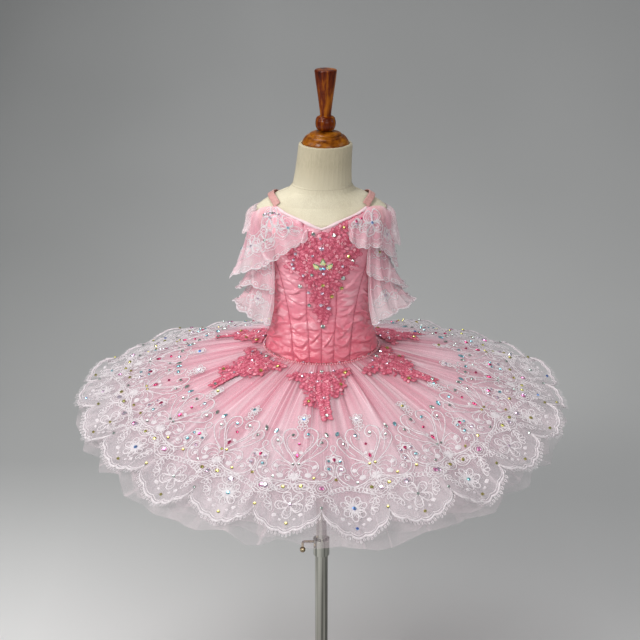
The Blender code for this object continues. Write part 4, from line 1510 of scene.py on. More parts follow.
WRINKLES = {
    (LEFT, 0): table(
        Wrinkle, (0.12, 0.0, 0.02, 0.013, 0.0008, 0.6, 0.6), (0.19, -0.1, 0.014, 0.011, 0.0009, 0.5, 0.6),
        (0.26, 0.02, 0.018, 0.012, 0.0008, 0.6, 0.6), (0.33, 0.1, 0.014, 0.012, 0.0009, 0.6, 0.6)),
    (LEFT, 1): table(
        Wrinkle, (0.07, 0.02, 0.045, 0.014, 0.0012, 0.5, 0.6),
        (0.16, -0.02, 0.05, 0.013, 0.0014, 0.5, 0.6), (0.25, 0.03, 0.045, 0.014, 0.0012, 0.6, 0.5),
        (0.34, -0.04, 0.04, 0.012, 0.0014, 0.4, 0.6), (0.44, 0.05, 0.02, 0.013, 0.0011, 0.5, 0.5),
        (0.51, -0.09, 0.03, 0.012, 0.0012, 0.4, 0.5), (0.57, 0.1, 0.01, 0.017, 0.001, 0.6, 0.5),
        (0.68, 0.16, 0.01, 0.013, 0.0013, 0.5, 0.6)),
    (LEFT, 2): table(
        Wrinkle, (0.08, 0.03, 0.05, 0.016, 0.0015, 0.4, 0.6), (0.13, 0.12, 0.03, 0.01, 0.0012, 0.6, 0.3),
        (0.18, -0.04, 0.05, 0.013, 0.0016, 0.4, 0.5), (0.28, 0.05, 0.045, 0.014, 0.0014, 0.4, 0.6),
        (0.33, 0.14, 0.02, 0.011, 0.0015, 0.6, 0.4), (0.37, -0.08, 0.02, 0.012, 0.0017, 0.3, 0.5),
        (0.46, 0.14, 0.01, 0.013, 0.0015, 0.4, 0.5), (0.53, -0.16, 0.012, 0.013, 0.0016, 0.5, 0.6),
        (0.6, 0.2, 0.0, 0.019, 0.0012, 0.4, 0.5), (0.68, -0.1, 0.004, 0.016, 0.0014, 0.6, 0.5),
        (0.78, 0.14, 0.0, 0.014, 0.0012, 0.4, 0.5)),
    (LEFT, 3): table(
        Wrinkle, (0.1, 0.03, 0.03, 0.016, 0.0014, 0.4, 0.5), (0.22, -0.04, 0.035, 0.013, 0.0015, 0.5, 0.5),
        (0.34, 0.06, 0.025, 0.013, 0.0016, 0.5, 0.5), (0.48, -0.1, 0.01, 0.016, 0.0013, 0.5, 0.5),
        (0.62, 0.14, 0.0, 0.014, 0.0012, 0.4, 0.5)),
    (LEFT, 4): table(
        Wrinkle, (0.09, 0.02, 0.03, 0.014, 0.0013, 0.5, 0.6), (0.2, -0.03, 0.03, 0.013, 0.0014, 0.5, 0.6),
        (0.33, 0.05, 0.02, 0.013, 0.0014, 0.4, 0.5)),
    (RIGHT, 0): table(
        Wrinkle, (0.1, 0.0, 0.02, 0.013, 0.0008, 0.6, 0.6), (0.17, 0.12, 0.014, 0.011, 0.0008, 0.5, 0.6),
        (0.24, -0.02, 0.018, 0.012, 0.0008, 0.6, 0.6)),
    (RIGHT, 1): table(
        Wrinkle, (0.08, -0.02, 0.045, 0.014, 0.0012, 0.5, 0.6),
        (0.17, 0.02, 0.055, 0.013, 0.0015, 0.5, 0.6), (0.22, 0.1, 0.03, 0.01, 0.0011, 0.5, 0.4),
        (0.27, -0.02, 0.05, 0.013, 0.0014, 0.5, 0.6), (0.36, 0.04, 0.035, 0.013, 0.0013, 0.5, 0.5),
        (0.47, -0.06, 0.015, 0.014, 0.001, 0.6, 0.5), (0.56, 0.12, 0.018, 0.013, 0.0012, 0.5, 0.5),
        (0.66, -0.14, 0.008, 0.013, 0.0012, 0.5, 0.5)),
    (RIGHT, 2): table(
        Wrinkle, (0.07, -0.02, 0.05, 0.016, 0.0014, 0.4, 0.6),
        (0.16, 0.03, 0.055, 0.013, 0.0016, 0.4, 0.6), (0.26, -0.03, 0.05, 0.014, 0.0015, 0.3, 0.5),
        (0.3, -0.14, 0.02, 0.011, 0.0014, 0.5, 0.4), (0.35, 0.06, 0.03, 0.012, 0.0016, 0.3, 0.5),
        (0.44, -0.1, 0.015, 0.013, 0.0014, 0.4, 0.5), (0.51, 0.17, 0.01, 0.013, 0.0016, 0.5, 0.5),
        (0.58, -0.18, 0.0, 0.019, 0.0012, 0.4, 0.5), (0.68, 0.12, 0.0, 0.015, 0.0014, 0.5, 0.5),
        (0.8, -0.14, 0.0, 0.014, 0.0011, 0.5, 0.5)),
    (RIGHT, 3): table(
        Wrinkle, (0.09, -0.02, 0.03, 0.016, 0.0014, 0.5, 0.5), (0.2, 0.04, 0.035, 0.013, 0.0015, 0.4, 0.5),
        (0.33, -0.05, 0.025, 0.013, 0.0016, 0.5, 0.5), (0.5, 0.1, 0.01, 0.016, 0.0012, 0.5, 0.5),
        (0.64, -0.14, 0.0, 0.014, 0.0012, 0.4, 0.5)),
    (RIGHT, 4): table(
        Wrinkle, (0.1, -0.02, 0.03, 0.014, 0.0013, 0.5, 0.6), (0.22, 0.03, 0.03, 0.013, 0.0014, 0.5, 0.6),
        (0.35, -0.05, 0.02, 0.013, 0.0014, 0.6, 0.5)),
}


@dataclass
class Bodice:
    """Ten satin panels with piped seams and the creases of worn satin."""

    torso: TorsoShape
    box: Workbox
    names: Sequence[str] = ("centre_front", "front", "side_front", "side_back", "back")
    seams: Sequence[Seam] = table(
        Seam, (0.0, 0.0, 0.0, 0.0), (11.5, 17.0, 17.0, 15.0), (28.5, 42.0, 54.0, 62.0),
        (90.0, 90.0, 90.0, 90.0), (152.0, 142.0, 136.0, 122.0), (180.0, 180.0, 180.0, 180.0))
    wall: float = 0.0015
    seam_gap: float = 0.0003
    columns: int = 24
    rows: int = 130
    puff: float = 0.0007
    crowding: float = 1.25
    crease: float = 3.3
    cut_width: float = 1.45
    cut_length: float = 1.04
    cut_area: float = 0.97
    hollow_depth: float = 0.75
    hollow_place: float = 1.5
    hollow_width: float = 0.8
    seam_shares: Sequence[float] = (0.0, 0.34, 0.68, 1.0)
    seam_dip: float = 0.0004
    edge_share: float = 0.02
    deepest: float = 0.0009
    waist_radius: float = 0.0832
    trim_radius: float = 0.085
    piping_width: float = 0.0009
    piping_section: Sequence[tuple[float, float]] = (
        (-1.0, -0.0006), (-0.5, 0.0002), (0.5, 0.0002), (1.0, -0.0006))
    stitch_length: float = 0.0018
    stitch_pitch: float = 0.003
    stitch_gap: float = 0.0019
    stitch_width: float = 0.00022
    stitch_lift: float = 0.00055
    hooks: int = 9
    hook_size: tuple[float, float] = (0.003, 0.0016)
    hook_start: float = 0.06
    hook_run: float = 0.88
    hook_lift: float = 0.0012
    hook_section: Sequence[tuple[float, float]] = ((-0.00035, 0.82), (0.0003, 1.0), (-0.00035, 1.18))

    def seam_angle(self, seam: Seam, share: Array) -> Array:
        """Angle of a panel seam at shares of the way up."""
        return np.interp(share, self.seam_shares, seam)

    def panel_point(self, side: int, panel: int, across: Array, share: Array) -> Array:
        """Points on a panel's outer face, with its creases.

        Args:
            side: LEFT or RIGHT.
            panel: index of the panel.
            across: share of the way from the inner seam to the outer.
            share: share of the way up.

        Returns:
            (..., 3) points.
        """
        half_gap = math.degrees(self.seam_gap * 0.5 / self.waist_radius)
        start = self.seam_angle(self.seams[panel], share) + half_gap
        end = self.seam_angle(self.seams[panel + 1], share) - half_gap
        angle = start + (end - start) * across
        z = self.torso.bodice_z(angle, share)
        swell = np.sin(math.pi * np.clip(across, 0.0, 1.0))
        out = self.torso.bodice_ease(z, angle) + self.wall
        relief = self.puff * swell ** 0.6 - self.seam_dip * (1.0 - swell) ** 6
        for wrinkle in WRINKLES[side, panel]:
            curve = (wrinkle.level + wrinkle.tilt * (across - 0.5)
                     - wrinkle.bow * (1.0 - 4.0 * (across - 0.5) ** 2))
            away = (share - curve) / wrinkle.width
            hollow = np.exp(-((away + self.hollow_place) / self.hollow_width) ** 2)
            crest = np.exp(-away ** 2) - self.hollow_depth * hollow
            fade = np.exp(-((across - wrinkle.middle) / wrinkle.reach) ** 2) * swell ** 0.5
            relief = relief + wrinkle.depth * self.crease * crest * fade
        edge = np.clip(np.minimum(share, 1.0 - share) / self.edge_share, 0.0, 1.0)
        return self.torso.off(z, angle, out + np.maximum(relief, -self.deepest) * edge, side)

    def build(self) -> None:
        """Cut and sew the panels, then the piping, stitches and back fastening."""
        for side in (LEFT, RIGHT):
            for panel, name in enumerate(self.names):
                self.panel(side, panel, f"bodice_{name}_{SIDE_NAMES[side]}")
        self.piping()
        self.fastening()

    def panel(self, side: int, panel: int, name: str) -> None:
        """Sew one panel, with its edges turned in.

        Args:
            side: LEFT or RIGHT.
            panel: index of the panel.
            name: the CAD node that it stands for.
        """
        share = 1.0 - (1.0 - np.linspace(0.0, 1.0, self.rows)) ** self.crowding
        points = self.panel_point(side, panel, *np.meshgrid(np.linspace(0.0, 1.0, self.columns), share))
        under = points.copy()
        for edge in (np.s_[0, :], np.s_[-1, :], np.s_[:, 0], np.s_[:, -1]):
            under[edge] = points[edge] - unit(points[edge] * (1.0, 1.0, 0.0)) * self.wall * 0.8
        full = np.pad(under, ((1, 1), (1, 1), (0, 0)), mode="edge")
        full[1:-1, 1:-1] = points
        item = lay(name + "_satin", full, self.box.satin, [name], flip=side == LEFT)

    def piping(self) -> None:
        """Lay the piped seams with a row of stitches on each side of them."""
        cords, stitches = MeshBook(), MeshBook()
        share = np.linspace(0.004, 0.996, 110)
        half = np.degrees(self.piping_width * 0.5 / self.trim_radius)
        seams = [(side, index) for side in (LEFT, RIGHT) for index in (1, 2, 3, 4)]
        for side, index in (*seams, (RIGHT, 0)):
            angle = self.seam_angle(self.seams[index], share)
            z = self.torso.bodice_z(angle, share)
            out = self.torso.bodice_ease(z, angle) + self.wall
            points = np.stack([self.torso.off(z, angle + shift * half, out + rise, side)
                               for shift, rise in self.piping_section], axis=1)
            cords.add(points, grid_faces(*points.shape[:2], flip=side == RIGHT))
            count = int(length_of(points[:, 1]) / self.stitch_pitch)
            for row_side in (-1.0, 1.0):
                self.stitch_row(stitches, side, index, count, row_side)
        settle(cords.finish("bodice_piping", [self.box.piping]))
        settle(stitches.finish("bodice_stitches", [self.box.piping]))

    def stitch_row(self, book: MeshBook, side: int, index: int, count: int, row_side: float) -> None:
        """Add a row of short stitches beside a seam.

        Args:
            book: where they go.
            side: LEFT or RIGHT.
            index: the seam.
            count: number of stitches.
            row_side: -1 or 1 for the side of the seam.
        """
        middle = (np.arange(count) + 0.5) / count
        half = self.stitch_length / self.stitch_pitch * 0.5 / count
        beside = math.degrees(self.stitch_gap / self.trim_radius) * row_side
        width = math.degrees(self.stitch_width / self.trim_radius)
        places = []
        for step, shift, rise in ((-1, 0, 0.0), (0, -1, 0.0003), (0, 1, 0.0003), (1, 0, 0.0)):
            share = np.clip(middle + step * half, 0.0, 1.0)
            angle = self.seam_angle(self.seams[index], share) + beside + shift * width
            angle = np.where(angle > 180.0, 360.0 - angle, angle)
            z = self.torso.bodice_z(angle, share)
            out = self.torso.bodice_ease(z, angle) + self.wall + self.stitch_lift
            places.append(self.torso.off(z, angle, out + rise, side))
        book.add(np.stack(places, axis=1), [(base, base + 1, base + 3, base + 2)
                                            for base in range(0, 4 * count, 4)])

    def fastening(self) -> None:
        """Sew wire hook loops down the centre back."""
        book = MeshBook()
        turn = np.linspace(0.0, math.tau, 14)
        wide, high = self.hook_size
        wire = np.stack([wide * np.cos(turn) * (1 + 0.5 * (np.cos(turn) > 0)), np.zeros(14),
                         high * np.sin(turn)], axis=1)
        for share in self.hook_start + self.hook_run * np.arange(self.hooks) / (self.hooks - 1):
            z = self.torso.bodice_z(180.0, share)
            out = self.torso.bodice_ease(z, 180.0) + self.wall + self.hook_lift
            centre = self.torso.off(z, 180.0, out)
            points = np.stack([centre + wire * (scale, 1.0, scale) + (0.0, lift, 0.0)
                               for lift, scale in self.hook_section], axis=1)
            book.add(points, grid_faces(*points.shape[:2]))
        settle(book.finish("back_hooks", [ChromeFinish("hook_wire").material()]))


@dataclass
class Edgings:
    """Neckline bindings, shoulder straps, the basque and the beaded hip seam."""

    torso: TorsoShape
    box: Workbox
    wall: float = 0.0015
    binding_height: float = 0.0034
    binding_wall: float = 0.0012
    binding_lift: float = 0.0006
    binding_fold: Sequence[tuple[float, float]] = (
        (1.0, 0.0), (0.92, 0.55), (0.7, 0.95), (0.45, 1.05), (0.18, 0.95), (-0.04, 0.45), (-0.1, -0.7),
        (-0.02, -1.7), (0.3, -2.1), (1.0, -2.1))
    binding_puckers: Sequence[tuple[float, float]] = ((0.00012, 3.1), (0.00008, 7.3))
    tape_width: float = 0.011
    strap_x: float = 0.0725
    strap_width: float = 0.01
    strap_wall: float = 0.0012
    strap_lift: float = 0.0012
    strap_rise: float = 0.0035
    strap_spread: float = 0.0095
    strap_angles: tuple[float, float] = (49.0, 131.0)
    strap_fold: Sequence[tuple[float, float]] = (
        (0.0, -0.2), (0.02, 0.7), (0.1, 1.0), (0.3, 0.92), (0.5, 0.98), (0.7, 0.92), (0.9, 1.0),
        (0.98, 0.7), (1.0, -0.2))
    basque_gap: float = 0.0006
    basque_depth: float = 0.04
    basque_cut: float = 0.045
    basque_pull: float = 0.0004
    basque_gathers: int = 36
    basque_turn: float = 0.0012
    picots: int = 150

    def build(self) -> None:
        """Make every edging."""
        for name, start, end in (("neck_binding_front", -44.0, 44.0),
                                 ("neck_binding_back", 140.0, 220.0)):
            self.bind(name, start, end)
        for side in (LEFT, RIGHT):
            self.strap(side)
        self.basque()
        self.hip_trim()

    def bind(self, name: str, start: float, end: float) -> None:
        """Roll a binding over a neckline.

        Args:
            name: the CAD node that it stands for.
            start: first angle.
            end: last angle.
        """
        angle = np.linspace(start, end, 90)
        edge = self.torso.bodice_top(np.where(angle > 180.0, angle - 360.0, angle))
        out = self.torso.body_ease + self.torso.top_ease + self.wall + self.binding_lift
        pucker = sum(height * np.sin(angle * pitch) for height, pitch in self.binding_puckers)
        points = np.stack([self.torso.off(edge - self.binding_height * drop, angle,
                                          out + self.binding_wall * rise + pucker)
                           for drop, rise in self.binding_fold])
        item = lay(name + "_tape", points, self.box.binding, [name])

    def strap(self, side: int) -> None:
        """Sew one folded satin strap.

        Args:
            side: LEFT or RIGHT.
        """
        start, end = self.strap_angles
        angle = np.linspace(start, end, 60)
        over = np.sin(math.pi * (angle - start) / (end - start))
        places = []
        for across, rise in self.strap_fold:
            width = self.strap_x + self.strap_spread * over + self.strap_width * (0.5 - across)
            z = self.torso.shoulder_height(width / np.sin(np.radians(angle)))
            out = self.strap_lift + self.strap_rise * over + self.strap_wall * rise
            places.append(self.torso.off(z, angle, out, side))
        name = f"strap_{SIDE_NAMES[side]}"
        item = lay(name + "_ribbon", np.stack(places), self.box.strap, [name],
                   flip=side == LEFT)

    def basque(self) -> None:
        """Sew the band that carries the skirt."""
        angle = np.linspace(-180.0, 180.0, 181)[:-1]
        places = []
        for drop in np.linspace(0.0, 1.0, 14):
            z = self.torso.hip_seam(angle) - self.basque_gap - self.basque_depth * drop
            pull = self.basque_pull * np.cos(np.radians(angle * self.basque_gathers)) * drop
            turned = -self.basque_turn if drop in (0.0, 1.0) else 0.0
            places.append(self.torso.off(z, angle, self.torso.body_ease + self.wall + pull + turned))
        item = lay("basque_band", np.stack(places), self.box.satin, ["basque"], closed=True,
                   flip=True)

    def hip_trim(self) -> None:
        """Edge the hip seam with thread picots, small beads and a stone here and there."""
        work = Needlework(Ground(self.hip_place, step=0.0004))
        for number in range(self.picots):
            turn = -180.0 + 360.0 * (number + 0.5) / self.picots
            work.fill(ring((turn, -1.2), 0.75, 1.3, 12.0 * math.sin(number * 1.7), 7), 0.6, 0.1)
            if number % 3 == 0:
                work.bead((turn + 1.0, 0.6), 1.7, StoneTint.PEARL)
            if number % 15 == 7:
                work.stone((turn, 0.8), 3.0, StoneTint.CLEAR)
        self.box.finish_work(work, "hip_trim", self.box.thread, self.box.coral, Slot.ROSE)

    def hip_place(self, turn: Array, rise: Array, origin: Array) -> Array:
        """Place beside the hip seam; a unit across is a degree, and a unit up a millimetre.

        Args:
            turn: thousandths of the angle.
            rise: height above the seam.
            origin: not used.

        Returns:
            (..., 3) points.
        """
        angle = turn * 1000.0
        z = self.torso.hip_seam(angle) + 0.001 + rise
        return self.torso.off(z, angle, self.torso.body_ease + self.wall + 0.0014
                              + np.maximum(-rise, 0.0) * 1.2)


# ------------------------------------------------------------------ skirt
@dataclass
class NetSkirt:
    """Three layers of gathered soft net, each sewn from five widths."""

    shape: SkirtShape
    widths: int = 5
    columns: int = 150
    rows: int = 26
    seam_gap: float = 0.0003
    hip_depth: float = 0.079
    flat: tuple[float, float] = (0.56, 0.345)
    points_out: float = 0.0125
    points_count: int = 31
    points_wander: float = 0.31
    points_start: float = 0.8
    points_droop: float = 0.3
    finishes: Sequence[NetFinish] = (
        NetFinish("upper_net", waist_cover=0.85, middle_cover=0.6, seed=1.3),
        NetFinish("middle_net", gathers=126.0, seed=5.9),
        NetFinish("lower_net", waist_cover=0.97, edge_cover=0.24, gathers=104.0, seed=9.1),
    )

    def build(self) -> None:
        """Gather every width of every layer."""
        for layer, finish in zip(NETS, self.finishes):
            material = finish.material()
            for number in range(1, self.widths + 1):
                self.width_of_net(layer, number, material)

    def width_of_net(self, layer: Layer, number: int, material: bpy.types.Material) -> None:
        """Gather one width of net.

        Args:
            layer: its layer.
            number: which width, from 1 at the centre back.
            material: its finish.
        """
        span = 360.0 / self.widths
        across, share = np.meshgrid(np.linspace(0.0, 1.0, self.columns), np.linspace(0.0, 1.0, self.rows))
        reach = self.hip_depth + (layer.radius - self.hip_depth) * share
        half_gap = np.degrees(self.seam_gap * 0.5 / reach)
        bearing = 180.0 + span * (number - 1) + half_gap + (span - 2 * half_gap) * across
        points = self.shape.point(layer, bearing, share)
        wander = self.points_wander * np.sin(np.radians(bearing * 3) + layer.phase)
        jag = self.points_count * bearing / 360.0 + wander
        tooth = np.abs(np.mod(jag, 1.0) - 0.5) * 2.0 - 0.75
        size = self.points_out * (1.0 + 0.5 * np.sin(np.radians(bearing * 7) + layer.phase))
        push = np.clip((share - self.points_start) / 0.2, 0.0, 1.0) ** 2 * tooth * size
        turn = np.radians(bearing)
        points[..., 0] += push * np.sin(turn)
        points[..., 1] -= push * np.cos(turn)
        points[..., 2] -= push * self.points_droop
        name = f"{layer.name}_{number}"
        item = lay(name + "_gathers", points, material, [name], (bearing / 360.0, share),
                   flip=True)


@dataclass
class LaceOverlay:
    """Scalloped lace over the nets: clear ground, corded scrolls, flowers and stones."""

    shape: SkirtShape
    box: Workbox
    columns: int = 1080
    rows: int = 30
    crowding: float = 1.15
    repeats: int = 16
    first: float = -7.5
    lift: float = 0.0004
    flat: tuple[float, float] = (2.68, 0.34)
    edge_section: Sequence[tuple[float, float]] = (
        (-1.0, -0.4), (-0.7, 0.7), (0.0, 1.0), (0.7, 0.7), (1.0, -0.4), (0.0, -0.8))
    edge_cords: Sequence[tuple[float, float, float]] = (
        (0.0018, 0.0019, 0.0016), (0.0062, 0.0008, 0.0009))
    picot_reach: float = 0.006
    picot_half: float = 0.0012
    picot_thread: float = 0.00042
    rim_radius: float = 0.42
    heart: Sequence[Stroke] = table(
        Stroke,
        (((0, 306), (8, 292), (18, 278), (26, 262), (27, 247), (20, 237), (11, 237), (5, 246), (8, 256),
          (14, 255)), 2.1), (((2, 296), (11, 283), (19, 269), (21, 256), (17, 247)), 1.4),
        (((4, 307), (18, 298), (33, 286), (43, 273), (44, 261), (36, 254), (28, 260), (29, 270),
          (36, 271)), 1.9), (((22, 289), (30, 275), (33, 260), (36, 249)), 1.4),
        (((4, 311), (16, 302), (29, 302), (36, 312), (34, 322), (27, 322)), 1.7),
        (((4, 313), (14, 308), (24, 310), (28, 317), (25, 324)), 1.4),
        (((4, 316), (12, 314), (19, 317), (21, 324)), 1.3), (((4, 318), (10, 319), (14, 325)), 1.1),
        (((0, 306), (5, 315), (9, 325), (6, 332)), 1.7),
        (((6, 331), (22, 338), (40, 341), (52, 337), (59, 327), (59, 314), (54, 306), (47, 308),
          (46, 316), (52, 318)), 2.2), (((20, 341), (42, 345), (56, 341), (64, 330)), 1.3),
        (((36, 330), (43, 321), (50, 324), (49, 331), (43, 331)), 1.4),
        (((44, 291), (53, 286), (58, 278), (56, 270), (50, 271), (50, 278)), 1.5))
    between: Sequence[Stroke] = table(
        Stroke, (((0, 329), (8, 320), (13, 309), (13, 298), (8, 294), (4, 299), (7, 304)), 1.6),
        (((0, 334), (0, 318), (0, 304)), 1.4, False))
    tip_stones: Sequence[StoneTint] = (
        StoneTint.SAPPHIRE, StoneTint.CLEAR, StoneTint.GOLD, StoneTint.AQUA, StoneTint.CLEAR,
        StoneTint.GOLD,
    )
    daisy_tints: Sequence[StoneTint] = (
        StoneTint.SAPPHIRE, StoneTint.SMOKE, StoneTint.AQUA, StoneTint.CLEAR, StoneTint.GOLD,
    )

    def build(self) -> None:
        """Lay the ground, then embroider it."""
        ground = self.net_ground()
        pieces: list[bpy.types.Object] = []
        scrolls, flowers = (Needlework(Ground(self.on_lace, up=-1.0)) for _ in range(2))
        for number in range(self.repeats):
            scrolls.origin = self.first + 360.0 * number / self.repeats
            self.scroll_motif(scrolls, number)
            scrolls.origin += 180.0 / self.repeats
            self.between_motif(scrolls, number)
        for number in range(self.shape.scallops):
            flowers.origin = 360.0 * (number + 0.5) / self.shape.scallops
            self.scallop_motif(flowers, number)
        pieces += self.box.finish_work(scrolls, "lace_scroll", self.box.thread, self.box.petal, Slot.LACE)
        pieces += self.box.finish_work(flowers, "lace_flower", self.box.thread, self.box.petal, Slot.LACE)
        pieces += self.edge()

    def on_lace(self, across: Array, reach: Array, origin: Array) -> Array:
        """Points on the lace, by metres across from a bearing and metres from the axis."""
        bearing = origin + np.degrees(across / reach)
        return self.shape.at_radius(LACE, bearing, reach) + (0.0, 0.0, self.lift)

    def net_ground(self) -> bpy.types.Object:
        """Lay the lace's clear ground.

        Returns:
            The ground.
        """
        bearing, share = np.meshgrid(180.0 + 360.0 * np.arange(self.columns + 1) / self.columns,
                                     1.0 - (1.0 - np.linspace(0.0, 1.0, self.rows)) ** self.crowding)
        finish = NetFinish("lace_ground", waist=(0.84, 0.3, 0.4), middle=(0.86, 0.52, 0.6),
                           pale=(0.74, 0.6, 0.66), edge=(0.64, 0.57, 0.61), streak=(0.95, 0.84, 0.88),
                           waist_cover=0.5, middle_cover=0.34, pale_cover=0.28, edge_cover=0.24,
                           gathers=170.0)
        return lay("lace_ground", self.shape.point(LACE, bearing, share), finish.material(),
                   ["lace_overlay"], (bearing / 360.0, share), flip=True)

    def scroll_motif(self, work: Needlework, number: int) -> None:
        """Heart of scrolls with its flowers and stones.

        Args:
            work: where it is stitched.
            number: which repeat it is.
        """
        for stroke in self.heart:
            work.stroke(stroke)
        for tilt in (50, 130, 210, 330, 270):
            work.loop(leaf((0, 216), tilt, 11.0, 4.4), 1.7)
            work.fill(leaf((0, 216), tilt, 8.0, 2.2), 0.4)
        for tilt in (20, 90, 160, 235, 305):
            work.loop(leaf((0, 231), tilt, 8.5, 3.6, 9), 1.5)
        for side in (-1, 1):
            for x, y, wide, high, tilt in ((5, 284, 3.6, 2.8, 30), (22, 328, 5.6, 4.4, 20),
                                           (31, 313, 3.8, 3.8, 40), (44, 326, 3.4, 3.0, 0),
                                           (55, 321, 3.2, 2.8, 30)):
                work.fill(ring((side * x, y), wide, high, side * tilt, 12, 0.1), 0.6)
            work.loop(ring((side * 14, 348), 13.0, 9.5, side * 14, 20), 1.8)
            work.loop(ring((side * 14, 348), 8.6, 6.0, side * 14, 14), 1.2)
        side = 1 if number % 2 else -1
        work.loop(ring((side * 41, 353), 13.0, 9.5, side * -12, 20), 1.7)
        work.loop(ring((side * 41, 353), 9.0, 6.4, side * -12, 14), 1.1)
        for tilt in (18, 90, 162, 234, 306):
            work.fill(leaf((0, 329), tilt, 8.5, 2.8), 0.4)
            work.loop(leaf((0, 329), tilt, 13.0, 5.2), 1.5)
        tip = self.tip_stones[number % len(self.tip_stones)]
        work.stone((0, 216), 5.5, tip)
        work.stone((0, 268), 4.6, StoneTint.RUBY)
        work.stone((0, 291), 9.0, StoneTint.RUBY, StoneCut.MARQUISE, 90)
        even = number % 2 == 0
        for side in (-1, 1):
            teal, grey = (StoneTint.AQUA, StoneTint.SMOKE) if (side > 0) == even else (
                StoneTint.SMOKE, StoneTint.AQUA)
            work.stone((side * 12, 250), 5.8, teal)
            work.stone((side * 40, 247), 12.0, grey if even else teal, StoneCut.MARQUISE,
                       90 - side * 30)
            work.stone((side * 35, 264), 5.2, StoneTint.SMOKE)
            work.stone((side * 4.5, 306), 4.4, StoneTint.SMOKE if even else StoneTint.GOLD)
            work.stone((side * 14, 348), 6.2, StoneTint.GOLD)
            work.stone((side * 52, 314), 6.0, StoneTint.AQUA if even else StoneTint.CLEAR)
            work.stone((side * 32, 335), 5.0, StoneTint.GOLD if side > 0 else StoneTint.SMOKE)
        side = 1 if number % 2 else -1
        work.stone((side * 41, 353), 9.0, StoneTint.CLEAR)

    def between_motif(self, work: Needlework, number: int) -> None:
        """Small flower and volutes between two hearts.

        Args:
            work: where it is stitched.
            number: which repeat it is.
        """
        for stroke in self.between:
            work.stroke(stroke)
        for tilt in (220, 270, 320):
            work.loop(leaf((0, 300), tilt, 15.0, 5.6), 1.5)
            work.fill(leaf((0, 300), tilt, 11.5, 4.0), 0.6)
        for side in (-1, 1):
            work.stone((side * 9, 299), 4.6, (StoneTint.AQUA, StoneTint.CLEAR)[number % 2])
        work.stone((0, 297), 8.0, StoneTint.RUBY, StoneCut.DROP, 90)
        work.stone((0, 333), 5.2, StoneTint.GOLD)

    def rose(self, work: Needlework, spot: tuple[float, float], size: float, turn: float) -> None:
        """Outline a small full rose.

        Args:
            work: where it is stitched.
            spot: its middle.
            size: its radius.
            turn: its turn in degrees.
        """
        for scale, count, width in ((1.0, 8, 1.8), (0.7, 6, 1.5), (0.42, 5, 1.2)):
            angle = np.linspace(0, math.tau, count * 5, endpoint=False)
            edge = size * scale * (0.92 + 0.16 * np.abs(np.sin(angle * count / 2 + turn)))
            line = np.stack([spot[0] + edge * np.cos(angle), spot[1] + edge * np.sin(angle)], axis=1)
            work.loop(line, width)
        for step in range(8):
            around = math.radians(45.0 * step + turn * 50)
            petal = (spot[0] + size * 1.12 * math.cos(around), spot[1] + size * 1.12 * math.sin(around))
            work.loop(ring(petal, 3.0, 2.3, 45.0 * step, 8), 1.2)

    def daisy(self, work: Needlework, centre: tuple[float, float], kind: int, lean: float) -> None:
        """Big open flower of a scallop.

        Args:
            work: where it is stitched.
            centre: its middle.
            kind: 0 for a layered flower, 1 for an open one.
            lean: its turn in degrees.
        """
        petals, size, half = ((7, 20.5, 6.8), (5, 23.0, 9.2))[kind]
        for petal in range(petals):
            tilt = 360.0 * petal / petals + lean
            work.loop(leaf(centre, tilt, size, half, 14), 1.9)
            if kind:
                for share, width in ((0.8, 1.3), (0.56, 1.1)):
                    work.loop(leaf(centre, tilt, size * share, half * share, 10), width)
            else:
                work.fill(leaf(centre, tilt + 180.0 / petals, size * 0.55, half * 0.5, 8), 0.4)
                work.loop(leaf(centre, tilt + 180.0 / petals, size * 0.8, half * 0.8, 10), 1.4)

    def scallop_motif(self, work: Needlework, number: int) -> None:
        """Flower of one scallop, with the garland above it and the rose at its peak.

        Args:
            work: where it is stitched.
            number: which scallop it is.
        """
        kind = number % 2
        lean = 24.0 * math.sin(number * 2.3)
        centre = (lean * 0.12, 377.0 + 2.0 * math.sin(number * 1.1))
        self.daisy(work, centre, kind, 90.0 + lean)
        for side in (-1, 1):
            for tilt in (80, 40, 0, -40):
                angle = tilt if side > 0 else 180 - tilt
                work.loop(leaf((side * 26.0, 381.0), angle, 12.5, 3.8, 9), 1.5)
            work.fill(ring((side * 20.0, 397.0), 4.0, 3.0, 20 * side, 9, 0.12), 0.5)
            work.fill(ring((side * 11.0, 402.0), 2.6, 2.0, 0, 8, 0.1), 0.4)
        self.rose(work, (46.0, 353.0), 14.0, number * 1.3)
        for side in (-1, 1):
            for tilt in (110, 70, 30):
                angle = tilt if side > 0 else 180 - tilt
                work.loop(leaf((46.0 + side * 11.0, 366.0), angle, 11.5, 3.4, 9), 1.5)
        for step in range(12):
            share = step / 11.0
            spot = (-33.0 + 66.0 * share, 357.0 - 12.0 * math.sin(math.pi * share))
            work.loop(ring(spot, 4.6, 3.2, 50.0 * math.cos(step * 1.9), 9), 1.6)
        tint = self.daisy_tints[number % len(self.daisy_tints)]
        work.stone(centre, (6.6, 5.2)[kind], tint)
        rose_tint = StoneTint.MAGENTA if number % 3 else StoneTint.CLEAR
        work.stone((46.0, 353.0), 8.0, rose_tint)
        work.stone((0.0, 408.0), 5.2, StoneTint.GOLD if number % 6 else StoneTint.SAPPHIRE)
        work.stone((50.5, 389.0), 5.0, StoneTint.SMOKE if number % 2 else StoneTint.GOLD)

